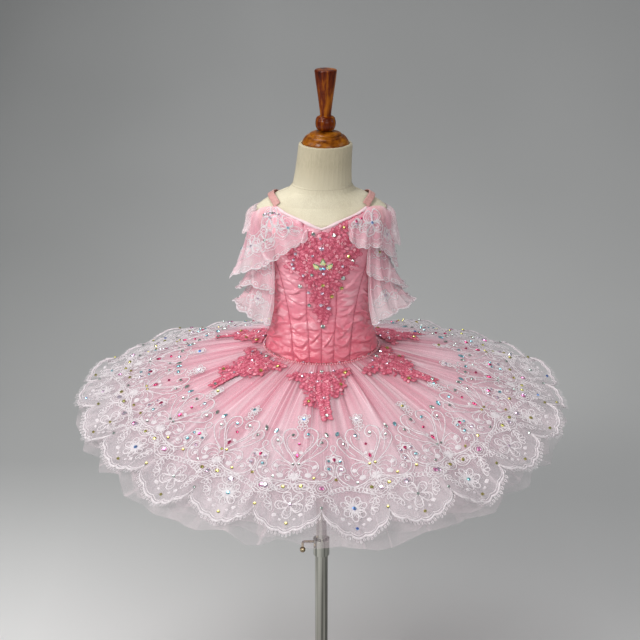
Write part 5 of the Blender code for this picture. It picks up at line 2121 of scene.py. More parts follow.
    def edge(self) -> list[bpy.types.Object]:
        """Cord the scalloped edge and fringe it with picots.

        Returns:
            The pieces.
        """
        steps = self.shape.scallops * 60
        bearing = 360.0 * np.arange(steps) / steps
        inner, _ = self.shape.hip(LACE, bearing)
        radius, _ = self.shape.rim(LACE, bearing)
        book = MeshBook()
        for inset, half, height in self.edge_cords:
            places = []
            for shift, rise in self.edge_section:
                share = (radius - inset + shift * half - inner) / (radius - inner)
                place = self.shape.point(LACE, bearing, share)
                place[..., 2] += height * rise
                places.append(place)
            book.add(np.stack(places), grid_faces(len(places), steps, closed=True, flip=True))
        cord = settle(book.finish("lace_edge_cord", [self.box.thread]))
        return [cord, self.fringe()]

    def fringe(self) -> bpy.types.Object:
        """Fringe the scalloped edge with picots.

        Returns:
            The fringe.
        """
        book = MeshBook()
        count = self.shape.scallops * self.shape.lobes * 4
        turn = np.linspace(-0.5 * math.pi, 1.5 * math.pi, 9)
        across = np.degrees(self.picot_half * np.cos(turn) / self.rim_radius)
        for number in range(count):
            middle = 360.0 * (number + 0.5) / count
            out = (self.picot_reach + 0.0009 * math.sin(number * 2.1)) * (0.5 + 0.5 * np.sin(turn))
            rim, _ = self.shape.rim(LACE, np.full(9, middle))
            places = []
            for shift in (-1.0, 1.0):
                sideways = np.degrees(shift * self.picot_thread * np.cos(turn) / self.rim_radius)
                base = self.shape.point(LACE, middle + across + sideways, 1.0)
                stretch = ((rim + out + shift * self.picot_thread * np.sin(turn))
                           / np.hypot(base[..., 0], base[..., 1]))
                place = base * np.stack([stretch, stretch, np.ones(9)], axis=-1)
                place[..., 2] -= out * 0.35
                places.append(place)
            book.add(np.stack(places, axis=1), grid_faces(9, 2, flip=True))
        return settle(book.finish("lace_edge_picots", [self.box.thread]))


# ------------------------------------------------------------------ sleeves
FLOUNCES = table(
    Flounce,
    ("sleeve_left_upper", LEFT, 7, 0.0035, 14, 0.0035, 0.009, 1.0, 0.0005, table(
        Station, (12.0, 1.019, 12.0, 1.006, 0.01), (26.0, 1.029, 24.0, 0.993, 0.014),
        (44.0, 1.042, 42.0, 0.972, 0.021), (60.0, 1.039, 56.0, 0.957, 0.034),
        (76.0, 1.031, 70.0, 0.948, 0.056), (90.0, 1.024, 86.0, 0.926, 0.069),
        (104.0, 1.023, 104.0, 0.931, 0.06), (120.0, 1.023, 122.0, 0.946, 0.038),
        (136.0, 1.027, 140.0, 0.968, 0.022)), table(
        Blossom, (0.042, 0.029, 0.029, 5, StoneTint.AQUA), (0.092, 0.052, 0.024, 5, StoneTint.SMOKE),
        (0.078, 0.019, 0.02, 5, StoneTint.CLEAR), (0.128, 0.056, 0.018, 6, StoneTint.CLEAR),
        (0.185, 0.055, 0.018, 5, StoneTint.AQUA), (0.23, 0.04, 0.011, 5, StoneTint.CLEAR))),
    ("sleeve_left_middle", LEFT, 6, 0.003, 10, 0.003, 0.0066, 1.7, 0.0005, table(
        Station, (50.0, 1.008, 52.0, 0.906, 0.018), (62.0, 1.008, 60.0, 0.914, 0.03),
        (74.0, 1.007, 72.0, 0.919, 0.049), (86.0, 1.006, 84.0, 0.905, 0.06),
        (98.0, 1.006, 98.0, 0.897, 0.06), (110.0, 1.007, 112.0, 0.901, 0.044),
        (122.0, 1.008, 128.0, 0.906, 0.026)), table(
        Blossom, (0.03, 0.065, 0.012, 5, StoneTint.CLEAR), (0.08, 0.068, 0.017, 5, StoneTint.GOLD),
        (0.13, 0.065, 0.011, 5, StoneTint.CLEAR))),
    ("sleeve_left_lower", LEFT, 6, 0.003, 10, 0.003, 0.0066, 1.7, 0.0005, table(
        Station, (55.0, 0.984, 56.0, 0.843, 0.022), (66.0, 0.984, 66.0, 0.849, 0.04),
        (77.0, 0.984, 77.0, 0.858, 0.058), (88.0, 0.984, 88.0, 0.865, 0.068),
        (100.0, 0.984, 100.0, 0.862, 0.064), (112.0, 0.984, 114.0, 0.854, 0.045),
        (124.0, 0.984, 126.0, 0.846, 0.024)), table(
        Blossom, (0.035, 0.095, 0.011, 5, StoneTint.CLEAR), (0.085, 0.088, 0.017, 6, StoneTint.AQUA),
        (0.13, 0.09, 0.011, 5, StoneTint.CLEAR))),
    ("sleeve_right_upper", RIGHT, 7, 0.003, 13, 0.0035, 0.009, 1.0, 0.0005, table(
        Station, (22.0, 1.027, 24.0, 1.006, 0.01), (34.0, 1.035, 34.0, 0.991, 0.015),
        (46.0, 1.042, 46.0, 0.992, 0.021), (60.0, 1.041, 60.0, 0.982, 0.025),
        (75.0, 1.033, 75.0, 0.96, 0.034), (90.0, 1.027, 90.0, 0.938, 0.042),
        (105.0, 1.023, 106.0, 0.941, 0.04), (120.0, 1.023, 122.0, 0.956, 0.028),
        (136.0, 1.027, 138.0, 0.976, 0.018)), table(
        Blossom, (0.056, 0.03, 0.029, 5, StoneTint.SAPPHIRE), (0.02, 0.018, 0.012, 5, StoneTint.CLEAR),
        (0.1, 0.045, 0.012, 5, StoneTint.CLEAR), (0.15, 0.06, 0.012, 6, StoneTint.SMOKE),
        (0.195, 0.045, 0.011, 5, StoneTint.AQUA))),
    ("sleeve_right_middle", RIGHT, 6, 0.0028, 10, 0.003, 0.0066, 1.7, 0.0005, table(
        Station, (48.0, 1.006, 46.0, 0.944, 0.016), (60.0, 1.006, 58.0, 0.932, 0.027),
        (74.0, 1.006, 72.0, 0.922, 0.046), (88.0, 1.006, 86.0, 0.903, 0.062),
        (100.0, 1.006, 99.0, 0.897, 0.063), (112.0, 1.006, 113.0, 0.904, 0.05),
        (124.0, 1.006, 128.0, 0.911, 0.025)), table(
        Blossom, (0.035, 0.05, 0.011, 5, StoneTint.GOLD), (0.085, 0.063, 0.017, 5, StoneTint.CLEAR),
        (0.13, 0.06, 0.011, 5, StoneTint.CLEAR))),
    ("sleeve_right_lower", RIGHT, 6, 0.0028, 10, 0.003, 0.0066, 1.7, 0.0005, table(
        Station, (55.0, 0.984, 56.0, 0.843, 0.021), (66.0, 0.984, 66.0, 0.855, 0.042),
        (77.0, 0.984, 77.0, 0.864, 0.064), (88.0, 0.984, 88.0, 0.868, 0.078),
        (100.0, 0.984, 100.0, 0.866, 0.074), (112.0, 0.984, 113.0, 0.859, 0.05),
        (124.0, 0.984, 126.0, 0.85, 0.024)), table(
        Blossom, (0.035, 0.095, 0.011, 5, StoneTint.CLEAR), (0.085, 0.088, 0.017, 6, StoneTint.AQUA),
        (0.13, 0.09, 0.011, 5, StoneTint.CLEAR))),
    ("shoulder_frill_left", LEFT, 11, 0.004, 0, 0.0, 0.003, 0.72, 0.003, table(
        Station, (74.0, 1.037, 73.0, 1.014, 0.018), (88.0, 1.037, 87.0, 1.0, 0.028),
        (103.0, 1.037, 103.0, 0.995, 0.029), (126.0, 1.037, 127.0, 0.998, 0.024))),
    ("shoulder_frill_right", RIGHT, 11, 0.004, 0, 0.0, 0.003, 0.72, 0.003, table(
        Station, (76.0, 1.037, 74.0, 1.004, 0.02), (87.0, 1.037, 86.0, 0.982, 0.032),
        (102.0, 1.037, 102.0, 0.977, 0.036), (126.0, 1.037, 127.0, 0.988, 0.028))),
)


@dataclass
class Sleeves:
    """Drop sleeves of lace: corded flounces with flowers, and net frills behind."""

    torso: TorsoShape
    box: Workbox
    columns: int = 150
    rows: int = 30
    fullness: tuple[float, float] = (1.35, 1.06)
    relief: float = 1.05
    frill_points: int = 23
    frill_tooth: float = 0.0056
    frill_beads: Sequence[tuple[float, float]] = (
        (0.1, 0.55), (0.16, 0.68), (0.12, 0.8), (0.24, 0.74), (0.4, 0.62))
    rosebuds: Sequence[tuple[tuple[float, float], float]] = (((66.0, 21.0), 15.0), ((70.0, 40.0), -20.0))
    curl: Sequence[tuple[float, float]] = ((6, 12), (14, 15), (21, 11), (20, 5), (15, 6), (16, 10))
    petal_rows: Sequence[tuple[float, float, int, float]] = (
        (1.0, 0.5, 14, 2.1), (0.78, 0.34, 10, 1.3), (0.5, 0.18, 8, 1.0))
    wave_rows: Sequence[float] = (0.36, 0.56, 0.74)
    hem_arch: Sequence[tuple[float, float]] = ((-1, 3.5), (-0.7, 9), (0, 11), (0.7, 9), (1, 3.5))
    edge_tints: Sequence[StoneTint] = (StoneTint.CLEAR, StoneTint.PEARL, StoneTint.CLEAR, StoneTint.SMOKE)
    clearance: tuple[float, float] = (8, 14)

    def build(self) -> None:
        """Make every flounce and frill."""
        lace = NetFinish("sleeve_lace", waist=(0.92, 0.42, 0.51), middle=(0.94, 0.49, 0.58),
                         pale=(0.95, 0.57, 0.65), edge=(0.95, 0.61, 0.68), streak=(0.98, 0.81, 0.85),
                         waist_cover=0.72, middle_cover=0.62, pale_cover=0.57, edge_cover=0.5,
                         gathers=10.0).material()
        frill = NetFinish("frill_net", waist=(0.88, 0.66, 0.7), middle=(0.9, 0.76, 0.79),
                          pale=(0.9, 0.8, 0.83), edge=(0.9, 0.82, 0.84), streak=(0.96, 0.9, 0.92),
                          waist_cover=0.3, middle_cover=0.3, pale_cover=0.34, edge_cover=0.42,
                          gathers=40.0).material()
        for cut in FLOUNCES:
            self.flounce(cut, frill if "frill" in cut.name else lace)

    def flounce(self, cut: Flounce, material: bpy.types.Material) -> None:
        """Gather one flounce, and sew on its beads or its embroidery.

        Args:
            cut: its cut.
            material: its finish.
        """
        shape = FlounceShape(self.torso, cut)
        is_frill = "frill" in cut.name
        slot = Slot.NET if is_frill else Slot.LACE
        along, down = np.meshgrid(np.linspace(0, 1, self.columns * (2 if is_frill else 1)),
                                  np.linspace(0, 1, self.rows))
        points = shape.point(along, down)
        if is_frill:
            tooth = np.abs(np.mod(along * self.frill_points, 1.0) - 0.5) * 2.0
            points[..., 2] += (0.75 - tooth) * self.frill_tooth * down ** 2
        item = lay(cut.name + "_cloth", points, material, [cut.name], (along, down),
                   flip=cut.side == RIGHT)
        width, length = shape.size()
        work = Needlework(Ground(lambda x, y, origin: shape.point(x / width, y / length), up=-cut.side))
        sew = self.bead_frill if is_frill else self.embroider
        sew(work, cut, width * 1000.0, length * 1000.0)
        pieces = self.box.finish_work(work, cut.name, self.box.thread, self.box.petal, slot)

    def bead_frill(self, work: Needlework, cut: Flounce, wide: float, deep: float) -> None:
        """Sew a few dark beads down the frill of the right shoulder, sized in millimetres."""
        for along, down in self.frill_beads if cut.side == RIGHT else ():
            work.bead((wide * along, deep * down), 2.6, StoneTint.JET)

    def embroider(self, work: Needlework, cut: Flounce, wide: float, deep: float) -> None:
        """Cord a flounce's edges and stitch its flowers.

        Args:
            work: where they are stitched.
            cut: the flounce.
            wide: its width in millimetres.
            deep: its depth in millimetres.
        """
        hem = np.stack([np.linspace(0.4, wide - 0.4, 260), np.full(260, deep - 0.8)], axis=1)
        work.cord(hem, 2.7, 1.0)
        for share in self.wave_rows:
            wave = deep * share + 3.2 * np.sin(np.linspace(0.0, 9.0 * math.tau, 220) + 7.0 * share)
            work.cord(np.stack([np.linspace(6.0, wide - 6.0, 220), wave], axis=1), 1.2, 0.5)
        for end in (0.6, wide - 0.6):
            down = np.linspace(deep * 0.1, deep - 1, 30)
            work.cord(np.stack([np.full(30, end), down], axis=1), 1.2, 0.6)
        for number in range(cut.scallops):
            middle = wide * (number + 0.5) / cut.scallops
            half = wide / cut.scallops * 0.36
            arch = [(middle + half * share, deep - up) for share, up in self.hem_arch]
            work.cord(smooth_line(arch, 2.0), 1.4)
            work.fill(ring((middle, deep - 6.5), 1.8, 1.5, 0, 8), 0.4)
        near, low = self.clearance
        for blossom in cut.blossoms:
            spot = (blossom.along * 1000.0, blossom.down * 1000.0)
            if near < spot[0] < wide - near and near < spot[1] < deep - low:
                self.blossom(work, blossom, spot)
        if cut.name == "sleeve_left_upper":
            for middle, tilt in self.rosebuds:
                work.fill(ring(middle, 5.6, 8.4, tilt, 18, 0.1), 0.5, 0.12, tint=2)
                work.fill(ring(middle, 3.0, 5.0, tilt + 25.0, 14, 0.14), 0.8, 0.1, tint=2)
                work.loop(ring(middle, 5.2, 7.9, tilt, 18, 0.1), 1.1)
            for step in range(8):
                work.stone((wide * 0.2 + step * 5.2, 6.5 + 0.9 * step), 4.6, self.edge_tints[step % 4])

    def blossom(self, work: Needlework, blossom: Blossom, spot: tuple[float, float]) -> None:
        """Stitch one flower with its stone and two curls.

        Args:
            work: where it is stitched.
            blossom: the flower.
            spot: its middle in millimetres.
        """
        size = blossom.size * 1000.0
        for petal in range(blossom.petals):
            tilt = 360.0 * petal / blossom.petals + spot[0] * 3
            for length, half, count, width in self.petal_rows:
                work.loop(leaf(spot, tilt, size * length, size * half, count), width)
            if petal % 3 == 0 and 18 < size < 22:
                work.fill(leaf(spot, tilt, size * 0.92, size * 0.36), 0.3, 0.1, tint=2)
        work.stone(spot, 4.8, blossom.tint)
        for side in (-1, 1):
            work.cord(smooth_line([(spot[0] + side * x, spot[1] + y) for x, y in self.curl], 2.0), 1.4)
            work.fill(ring((spot[0] + side * 12, spot[1] + 9), 2.4, 1.8, 30 * side, 8), 0.4)


# ------------------------------------------------------------------ appliques
class Ray(NamedTuple):
    """One direction and reach of an applique's outline."""

    angle: float
    radius: float


class Sprig(NamedTuple):
    """A beaded branch: its line in millimetres, leaf length, and leaf pitch."""

    points: Sequence[tuple[float, float]]
    leaf: float
    pitch: float = 6.0


class Rosette(NamedTuple):
    """A beaded flower: place in millimetres, radius and petals."""

    x: float
    y: float
    size: float
    petals: int


class Jewel(NamedTuple):
    """A sewn-on stone: place in millimetres, size, finish, lift where it isn't the usual, cut and tilt."""

    x: float
    y: float
    size: float
    tint: StoneTint
    lift: Optional[float] = None
    cut: StoneCut = StoneCut.ROUND
    tilt: float = 90.0


class Pattern(NamedTuple):
    """What an applique is sewn from, the usual lift of its stones, and what it lies on."""

    rays: Sequence[Ray]
    sprigs: Sequence[Sprig]
    rosettes: Sequence[Rosette]
    jewels: Sequence[Jewel]
    lift: float
    flat: tuple[float, float]
    rests_on: str


BODICE_PATTERN = Pattern(
    rays=table(
        Ray, (0.0, 0.05), (18.0, 0.052), (30.0, 0.054), (46.0, 0.062), (62.0, 0.06), (76.0, 0.06),
        (90.0, 0.062), (104.0, 0.054), (116.0, 0.064), (136.0, 0.052), (156.0, 0.054), (176.0, 0.052),
        (196.0, 0.04), (214.0, 0.036), (232.0, 0.036), (248.0, 0.046), (260.0, 0.068), (270.0, 0.098),
        (276.0, 0.078), (290.0, 0.048), (308.0, 0.036), (328.0, 0.038), (346.0, 0.044)),
    sprigs=table(
        Sprig, (((0, 60), (1, 44), (0, 28), (0, 10)), 8.0),
        (((-3, 20), (-14, 33), (-21, 45), (-25, 56)), 8.0), (((-6, 14), (-22, 26), (-36, 38)), 8.0),
        (((-8, 4), (-24, 10), (-40, 16), (-50, 24)), 7.5),
        (((-8, 0), (-26, 0), (-42, 4), (-51, -3)), 7.5),
        (((-6, -8), (-18, -10), (-28, -15), (-36, -13)), 7.0),
        (((-3, -14), (-12, -22), (-23, -28)), 7.0),
        (((0, -8), (1, -30), (0, -54), (2, -76), (-1, -97)), 8.0, 5.5),
        (((-2, -34), (-9, -46), (-15, -60)), 6.5), (((1, -60), (-5, -72), (-11, -82)), 6.0),
        (((3, 20), (13, 33), (19, 47), (18, 59)), 8.0), (((6, 14), (24, 28), (37, 40), (40, 52)), 8.0),
        (((12, 58), (28, 63), (44, 68), (58, 73), (67, 76)), 6.5, 5.5),
        (((8, 4), (24, 10), (40, 16), (50, 24), (61, 26)), 7.5),
        (((8, 0), (26, 0), (42, 2), (50, 5)), 7.5), (((6, -8), (20, -9), (34, -14)), 7.0),
        (((3, -14), (14, -24), (25, -33)), 7.0), (((2, -34), (9, -44), (15, -51)), 6.5),
        (((1, -60), (6, -70), (8, -86)), 6.0)),
    rosettes=table(
        Rosette, (0, 9, 15, 6), (25, 16, 10, 5), (-25, 16, 10, 5), (24, -5, 9, 5), (-24, -5, 9, 5),
        (0, 40, 10, 5), (0, -30, 10, 5), (1, -64, 8, 5), (28, 42, 9, 5), (-20, 44, 9, 5)),
    jewels=table(
        Jewel, (-10.5, 6.0, 14.0, StoneTint.CITRINE, 2.6, StoneCut.DROP, 135),
        (0.0, 13.5, 14.0, StoneTint.CITRINE, 2.6, StoneCut.DROP, 90),
        (10.5, 6.0, 14.0, StoneTint.CITRINE, 2.6, StoneCut.DROP, 45),
        (-3.0, 1.5, 6.0, StoneTint.AQUA, 2.6), (1.8, 2.0, 5.6, StoneTint.SAPPHIRE, 2.6),
        (-2, 34, 7.4, StoneTint.CLEAR), (-15, 56, 6.4, StoneTint.SMOKE), (-4, 50, 5.0, StoneTint.CLEAR),
        (17, 54, 6.4, StoneTint.SMOKE), (32, 66, 5.0, StoneTint.GOLD), (-16, 22, 5.0, StoneTint.CLEAR),
        (-42, 24, 6.0, StoneTint.CLEAR), (-45, 14, 5.6, StoneTint.CLEAR),
        (-47, 6, 5.6, StoneTint.CLEAR), (-45, -1, 6.0, StoneTint.CLEAR),
        (-30, -12, 5.4, StoneTint.CLEAR), (-17, -10, 5.8, StoneTint.SMOKE),
        (-35, -32, 7.8, StoneTint.SMOKE), (-22, -42, 6.2, StoneTint.CLEAR),
        (-21, -66, 6.6, StoneTint.SMOKE), (1, -8, 5.0, StoneTint.CLEAR), (39, 20, 6.4, StoneTint.GOLD),
        (46, 12, 5.0, StoneTint.SMOKE), (30, 4, 5.0, StoneTint.CLEAR), (31, -17, 8.0, StoneTint.SMOKE),
        (29, -35, 6.4, StoneTint.GOLD), (14, -49, 6.8, StoneTint.GOLD), (9, -71, 7.6, StoneTint.CLEAR),
        (0, -28, 6.0, StoneTint.GOLD), (-1, -43, 5.6, StoneTint.CLEAR), (-3, -65, 6.4, StoneTint.CLEAR),
        (0, -105, 7.6, StoneTint.SMOKE), (52, 71, 5.0, StoneTint.RUBY), (60, 74, 5.0, StoneTint.RUBY)),
    lift=1.8, flat=(0.112, 0.17), rests_on="dress_form")
SKIRT_PATTERN = Pattern(
    rays=table(
        Ray, (0.0, 0.036), (22.0, 0.04), (45.0, 0.06), (62.0, 0.05), (90.0, 0.056), (116.0, 0.046),
        (138.0, 0.058), (158.0, 0.038), (180.0, 0.03), (204.0, 0.022), (230.0, 0.032), (250.0, 0.036),
        (270.0, 0.05), (279.0, 0.06), (292.0, 0.036), (312.0, 0.02), (336.0, 0.024)),
    sprigs=table(
        Sprig, (((0, 52), (1, 34), (0, 16), (2, -4), (4, -26), (9, -56)), 8.0, 5.0),
        (((0, 36), (14, 41), (28, 47), (44, 53)), 8.0),
        (((0, 36), (-14, 38), (-30, 40), (-44, 38), (-48, 46)), 8.0),
        (((2, 24), (14, 25), (26, 22), (36, 14)), 8.0),
        (((-2, 22), (-14, 22), (-26, 18), (-30, 10)), 8.0), (((2, 6), (12, 3), (23, 0)), 7.0),
        (((-1, 0), (-10, -8), (-18, -15), (-23, -27)), 7.0)),
    rosettes=table(
        Rosette, (0, 26, 13, 6), (22, 36, 10, 5), (-22, 33, 10, 5), (0, 46, 8, 5), (15, 10, 9, 5),
        (-14, 9, 9, 5), (3, -12, 9, 5), (6, -36, 7, 5)),
    jewels=table(
        Jewel, (40, 50, 7.2, StoneTint.GOLD), (0, 50, 6.4, StoneTint.SMOKE),
        (-17, 48, 5.0, StoneTint.CLEAR), (20, 52, 5.0, StoneTint.CLEAR), (31, 22, 6.6, StoneTint.GOLD),
        (-6, 26, 5.0, StoneTint.CLEAR), (-33, 40, 5.2, StoneTint.CLEAR),
        (-20, -22, 6.0, StoneTint.GOLD), (9, -52, 6.0, StoneTint.SMOKE), (4, -14, 4.6, StoneTint.CLEAR)),
    lift=1.9, flat=(0.104, 0.128), rests_on="lace_ground")


@dataclass
class Appliques:
    """Rose beaded lace down the centre front and round the skirt."""

    torso: TorsoShape
    skirt: SkirtShape
    box: Workbox
    wall: float = 0.0015
    centre: tuple[float, float] = (0.002, 0.955)
    lift: float = 0.0017
    skirt_radius: float = 0.157
    azimuths: Sequence[float] = (0.0, 60.0, 120.0, 180.0, 240.0, 300.0)
    skirt_lift: float = 0.0021
    net_lift: float = 0.0002
    net_rings: Sequence[float] = (0.0001, 0.25, 0.45, 0.62, 0.76, 0.88, 1.0)
    spacing: float = 1.6

    def build(self) -> None:
        """Make the seven appliques."""
        self.motif("applique_bodice", Needlework(Ground(self.on_bodice)), BODICE_PATTERN)
        for number, azimuth in enumerate(self.azimuths, start=1):
            work = Needlework(Ground(self.on_skirt))
            work.origin = azimuth
            self.motif(f"applique_skirt_{number}", work, SKIRT_PATTERN)

    def on_bodice(self, across: Array, rise: Array, origin: Array) -> Array:
        """Place on the bodice by distances across and up.

        Args:
            across: metres to the side.
            rise: metres up.
            origin: not used.

        Returns:
            (..., 3) points.
        """
        z = self.centre[1] + rise
        width, _ = self.torso.sizes(z, 1.0)
        angle = np.degrees(np.arcsin(np.clip((self.centre[0] + across) / width, -0.99, 0.99)))
        return self.torso.off(z, angle, self.torso.bodice_ease(z, angle) + self.wall + self.lift)

    def on_skirt(self, across: Array, rise: Array, origin: Array) -> Array:
        """Place on the skirt by distances across and towards the waist.

        Args:
            across: metres to the side.
            rise: metres towards the waist.
            origin: bearing of the motif's middle.

        Returns:
            (..., 3) points.
        """
        reach = self.skirt_radius - rise
        bearing = origin + np.degrees(np.arctan2(across, reach))
        bearing = (bearing + 180.0) % 360.0 - 180.0
        distance = np.hypot(across, reach)
        smooth = self.skirt.at_radius(LACE, bearing, distance, crimped=False)
        folded = self.skirt.at_radius(LACE, bearing, distance, crimped=True)
        return smooth * 0.45 + folded * 0.55 + (0.0, 0.0, self.skirt_lift)

    def motif(self, name: str, work: Needlework, pattern: Pattern) -> None:
        """Sew one applique.

        Args:
            name: the CAD node that it stands for.
            work: its needlework.
            pattern: what it is sewn from.
        """
        patch = self.lace_patch(name, work, pattern.rays)
        self.beadwork(work, pattern)
        for jewel in pattern.jewels:
            work.stone((jewel.x, jewel.y), jewel.size, jewel.tint, jewel.cut, jewel.tilt,
                       jewel.lift or pattern.lift)
        pieces = self.box.finish_work(work, name, self.box.rose, self.box.rose_petal, Slot.ROSE)

    def lace_patch(self, name: str, work: Needlework, rays: Sequence[Ray]) -> bpy.types.Object:
        """Cut the net that the beadwork is sewn to.

        Args:
            name: the CAD node that it stands for.
            work: the needlework that it carries.
            rays: its outline.

        Returns:
            The patch.
        """
        angles, reaches = zip(*rays)
        angle = np.linspace(0.0, 360.0, 181)[:-1]
        edge = np.interp(angle, (*angles, 360.0), (*reaches, reaches[0]))
        edge = edge * (0.9 + 0.05 * np.sin(np.radians(angle * 22)))
        share = np.array(self.net_rings)[:, None]
        across = edge * share * np.cos(np.radians(angle))
        rise = edge * share * np.sin(np.radians(angle))
        points, _, _, off = work.ground.frames(across, rise, np.full(across.shape, work.origin))
        return lay(name + "_net", points + off * self.net_lift, self.box.applique, [name],
                   (across * 8, rise * 8), closed=True)

    def beadwork(self, work: Needlework, pattern: Pattern) -> None:
        """Stitch the branches, flowers, outline loops and beads.

        Args:
            work: where they are sewn.
            pattern: the branches, flowers and outline.
        """
        dice = np.random.default_rng(7)
        for sprig in pattern.sprigs:
            self.sprig(work, sprig, dice)
        for rosette in pattern.rosettes:
            self.rosette(work, rosette)
        for ray in pattern.rays:
            turn = math.radians(ray.angle)
            for share, size in ((0.93, 4.2), (0.76, 3.4)):
                spot = (ray.radius * 1000 * share * math.cos(turn),
                        ray.radius * 1000 * share * math.sin(turn))
                work.loop(ring(spot, size * 0.5, size * 0.4, ray.angle, 9), 0.9, 0.7, 0.3)
                work.fill(ring(spot, size * 0.3, size * 0.25, ray.angle, 7), 0.7, 0.3, tint=1)

    def sprig(self, work: Needlework, sprig: Sprig, dice: np.random.Generator) -> None:
        """Stitch a branch with its leaves and beads.

        Args:
            work: where it is stitched.
            sprig: the branch.
            dice: seeded draws for the leaves.
        """
        line = smooth_line(sprig.points, self.spacing)
        work.cord(line, 1.1, 0.7, 0.4)
        for number in range(int(len(line) * self.spacing / sprig.pitch)):
            index = min(int((number + 0.5) * sprig.pitch / self.spacing), len(line) - 2)
            root = tuple(line[index])
            ahead = line[index + 1] - line[index]
            heading = math.degrees(math.atan2(ahead[1], ahead[0]))
            for side in (-1, 1):
                tilt = heading + side * (48 + 10 * dice.random())
                size = sprig.leaf * (1.15 + 0.35 * dice.random())
                shape = leaf(root, tilt, size, size * 0.4, 10)
                work.fill(shape, 0.7, 0.35, tint=2 if (2 * number + (side > 0)) % 5 == 0 else 0)
                work.loop(shape, 1.15, 0.9, 0.4)
                work.loop(leaf(root, tilt, size * 0.55, size * 0.16, 6), 0.8, 0.5, 0.9)
            if number % 2 == 0:
                work.bead(root, 1.9, StoneTint.ROSE_BEAD, 1.0)

    def rosette(self, work: Needlework, rosette: Rosette) -> None:
        """Stitch a flower with its ring of beads.

        Args:
            work: where it is stitched.
            rosette: the flower.
        """
        spot, size = (rosette.x, rosette.y), rosette.size
        for petal in range(rosette.petals):
            tilt = 360.0 * petal / rosette.petals + rosette.x * 5
            shape = leaf(spot, tilt, size, size * 0.42, 12)
            work.fill(shape, 0.9, 0.8, tint=2 if petal % 3 == 0 else 0)
            work.loop(shape, 1.2, 1.0, 0.8)
            work.loop(leaf(spot, tilt, size * 0.62, size * 0.2, 8), 0.8, 0.6, 1.3)
        for number in range(6):
            turn = math.tau * number / 6
            work.bead((spot[0] + 2.6 * math.cos(turn), spot[1] + 2.6 * math.sin(turn)), 1.6,
                      (StoneTint.ROSE_BEAD, StoneTint.PEARL)[number % 2], 1.6)
        work.bead(spot, 2.2, StoneTint.PEARL, 1.8)


# ------------------------------------------------------------------ studio
@dataclass(frozen=True)
class Lamp:
    """One soft light panel."""

    name: str
    place: tuple[float, float, float]
    aim: tuple[float, float, float]
    size: float
    power: float
    colour: Colour


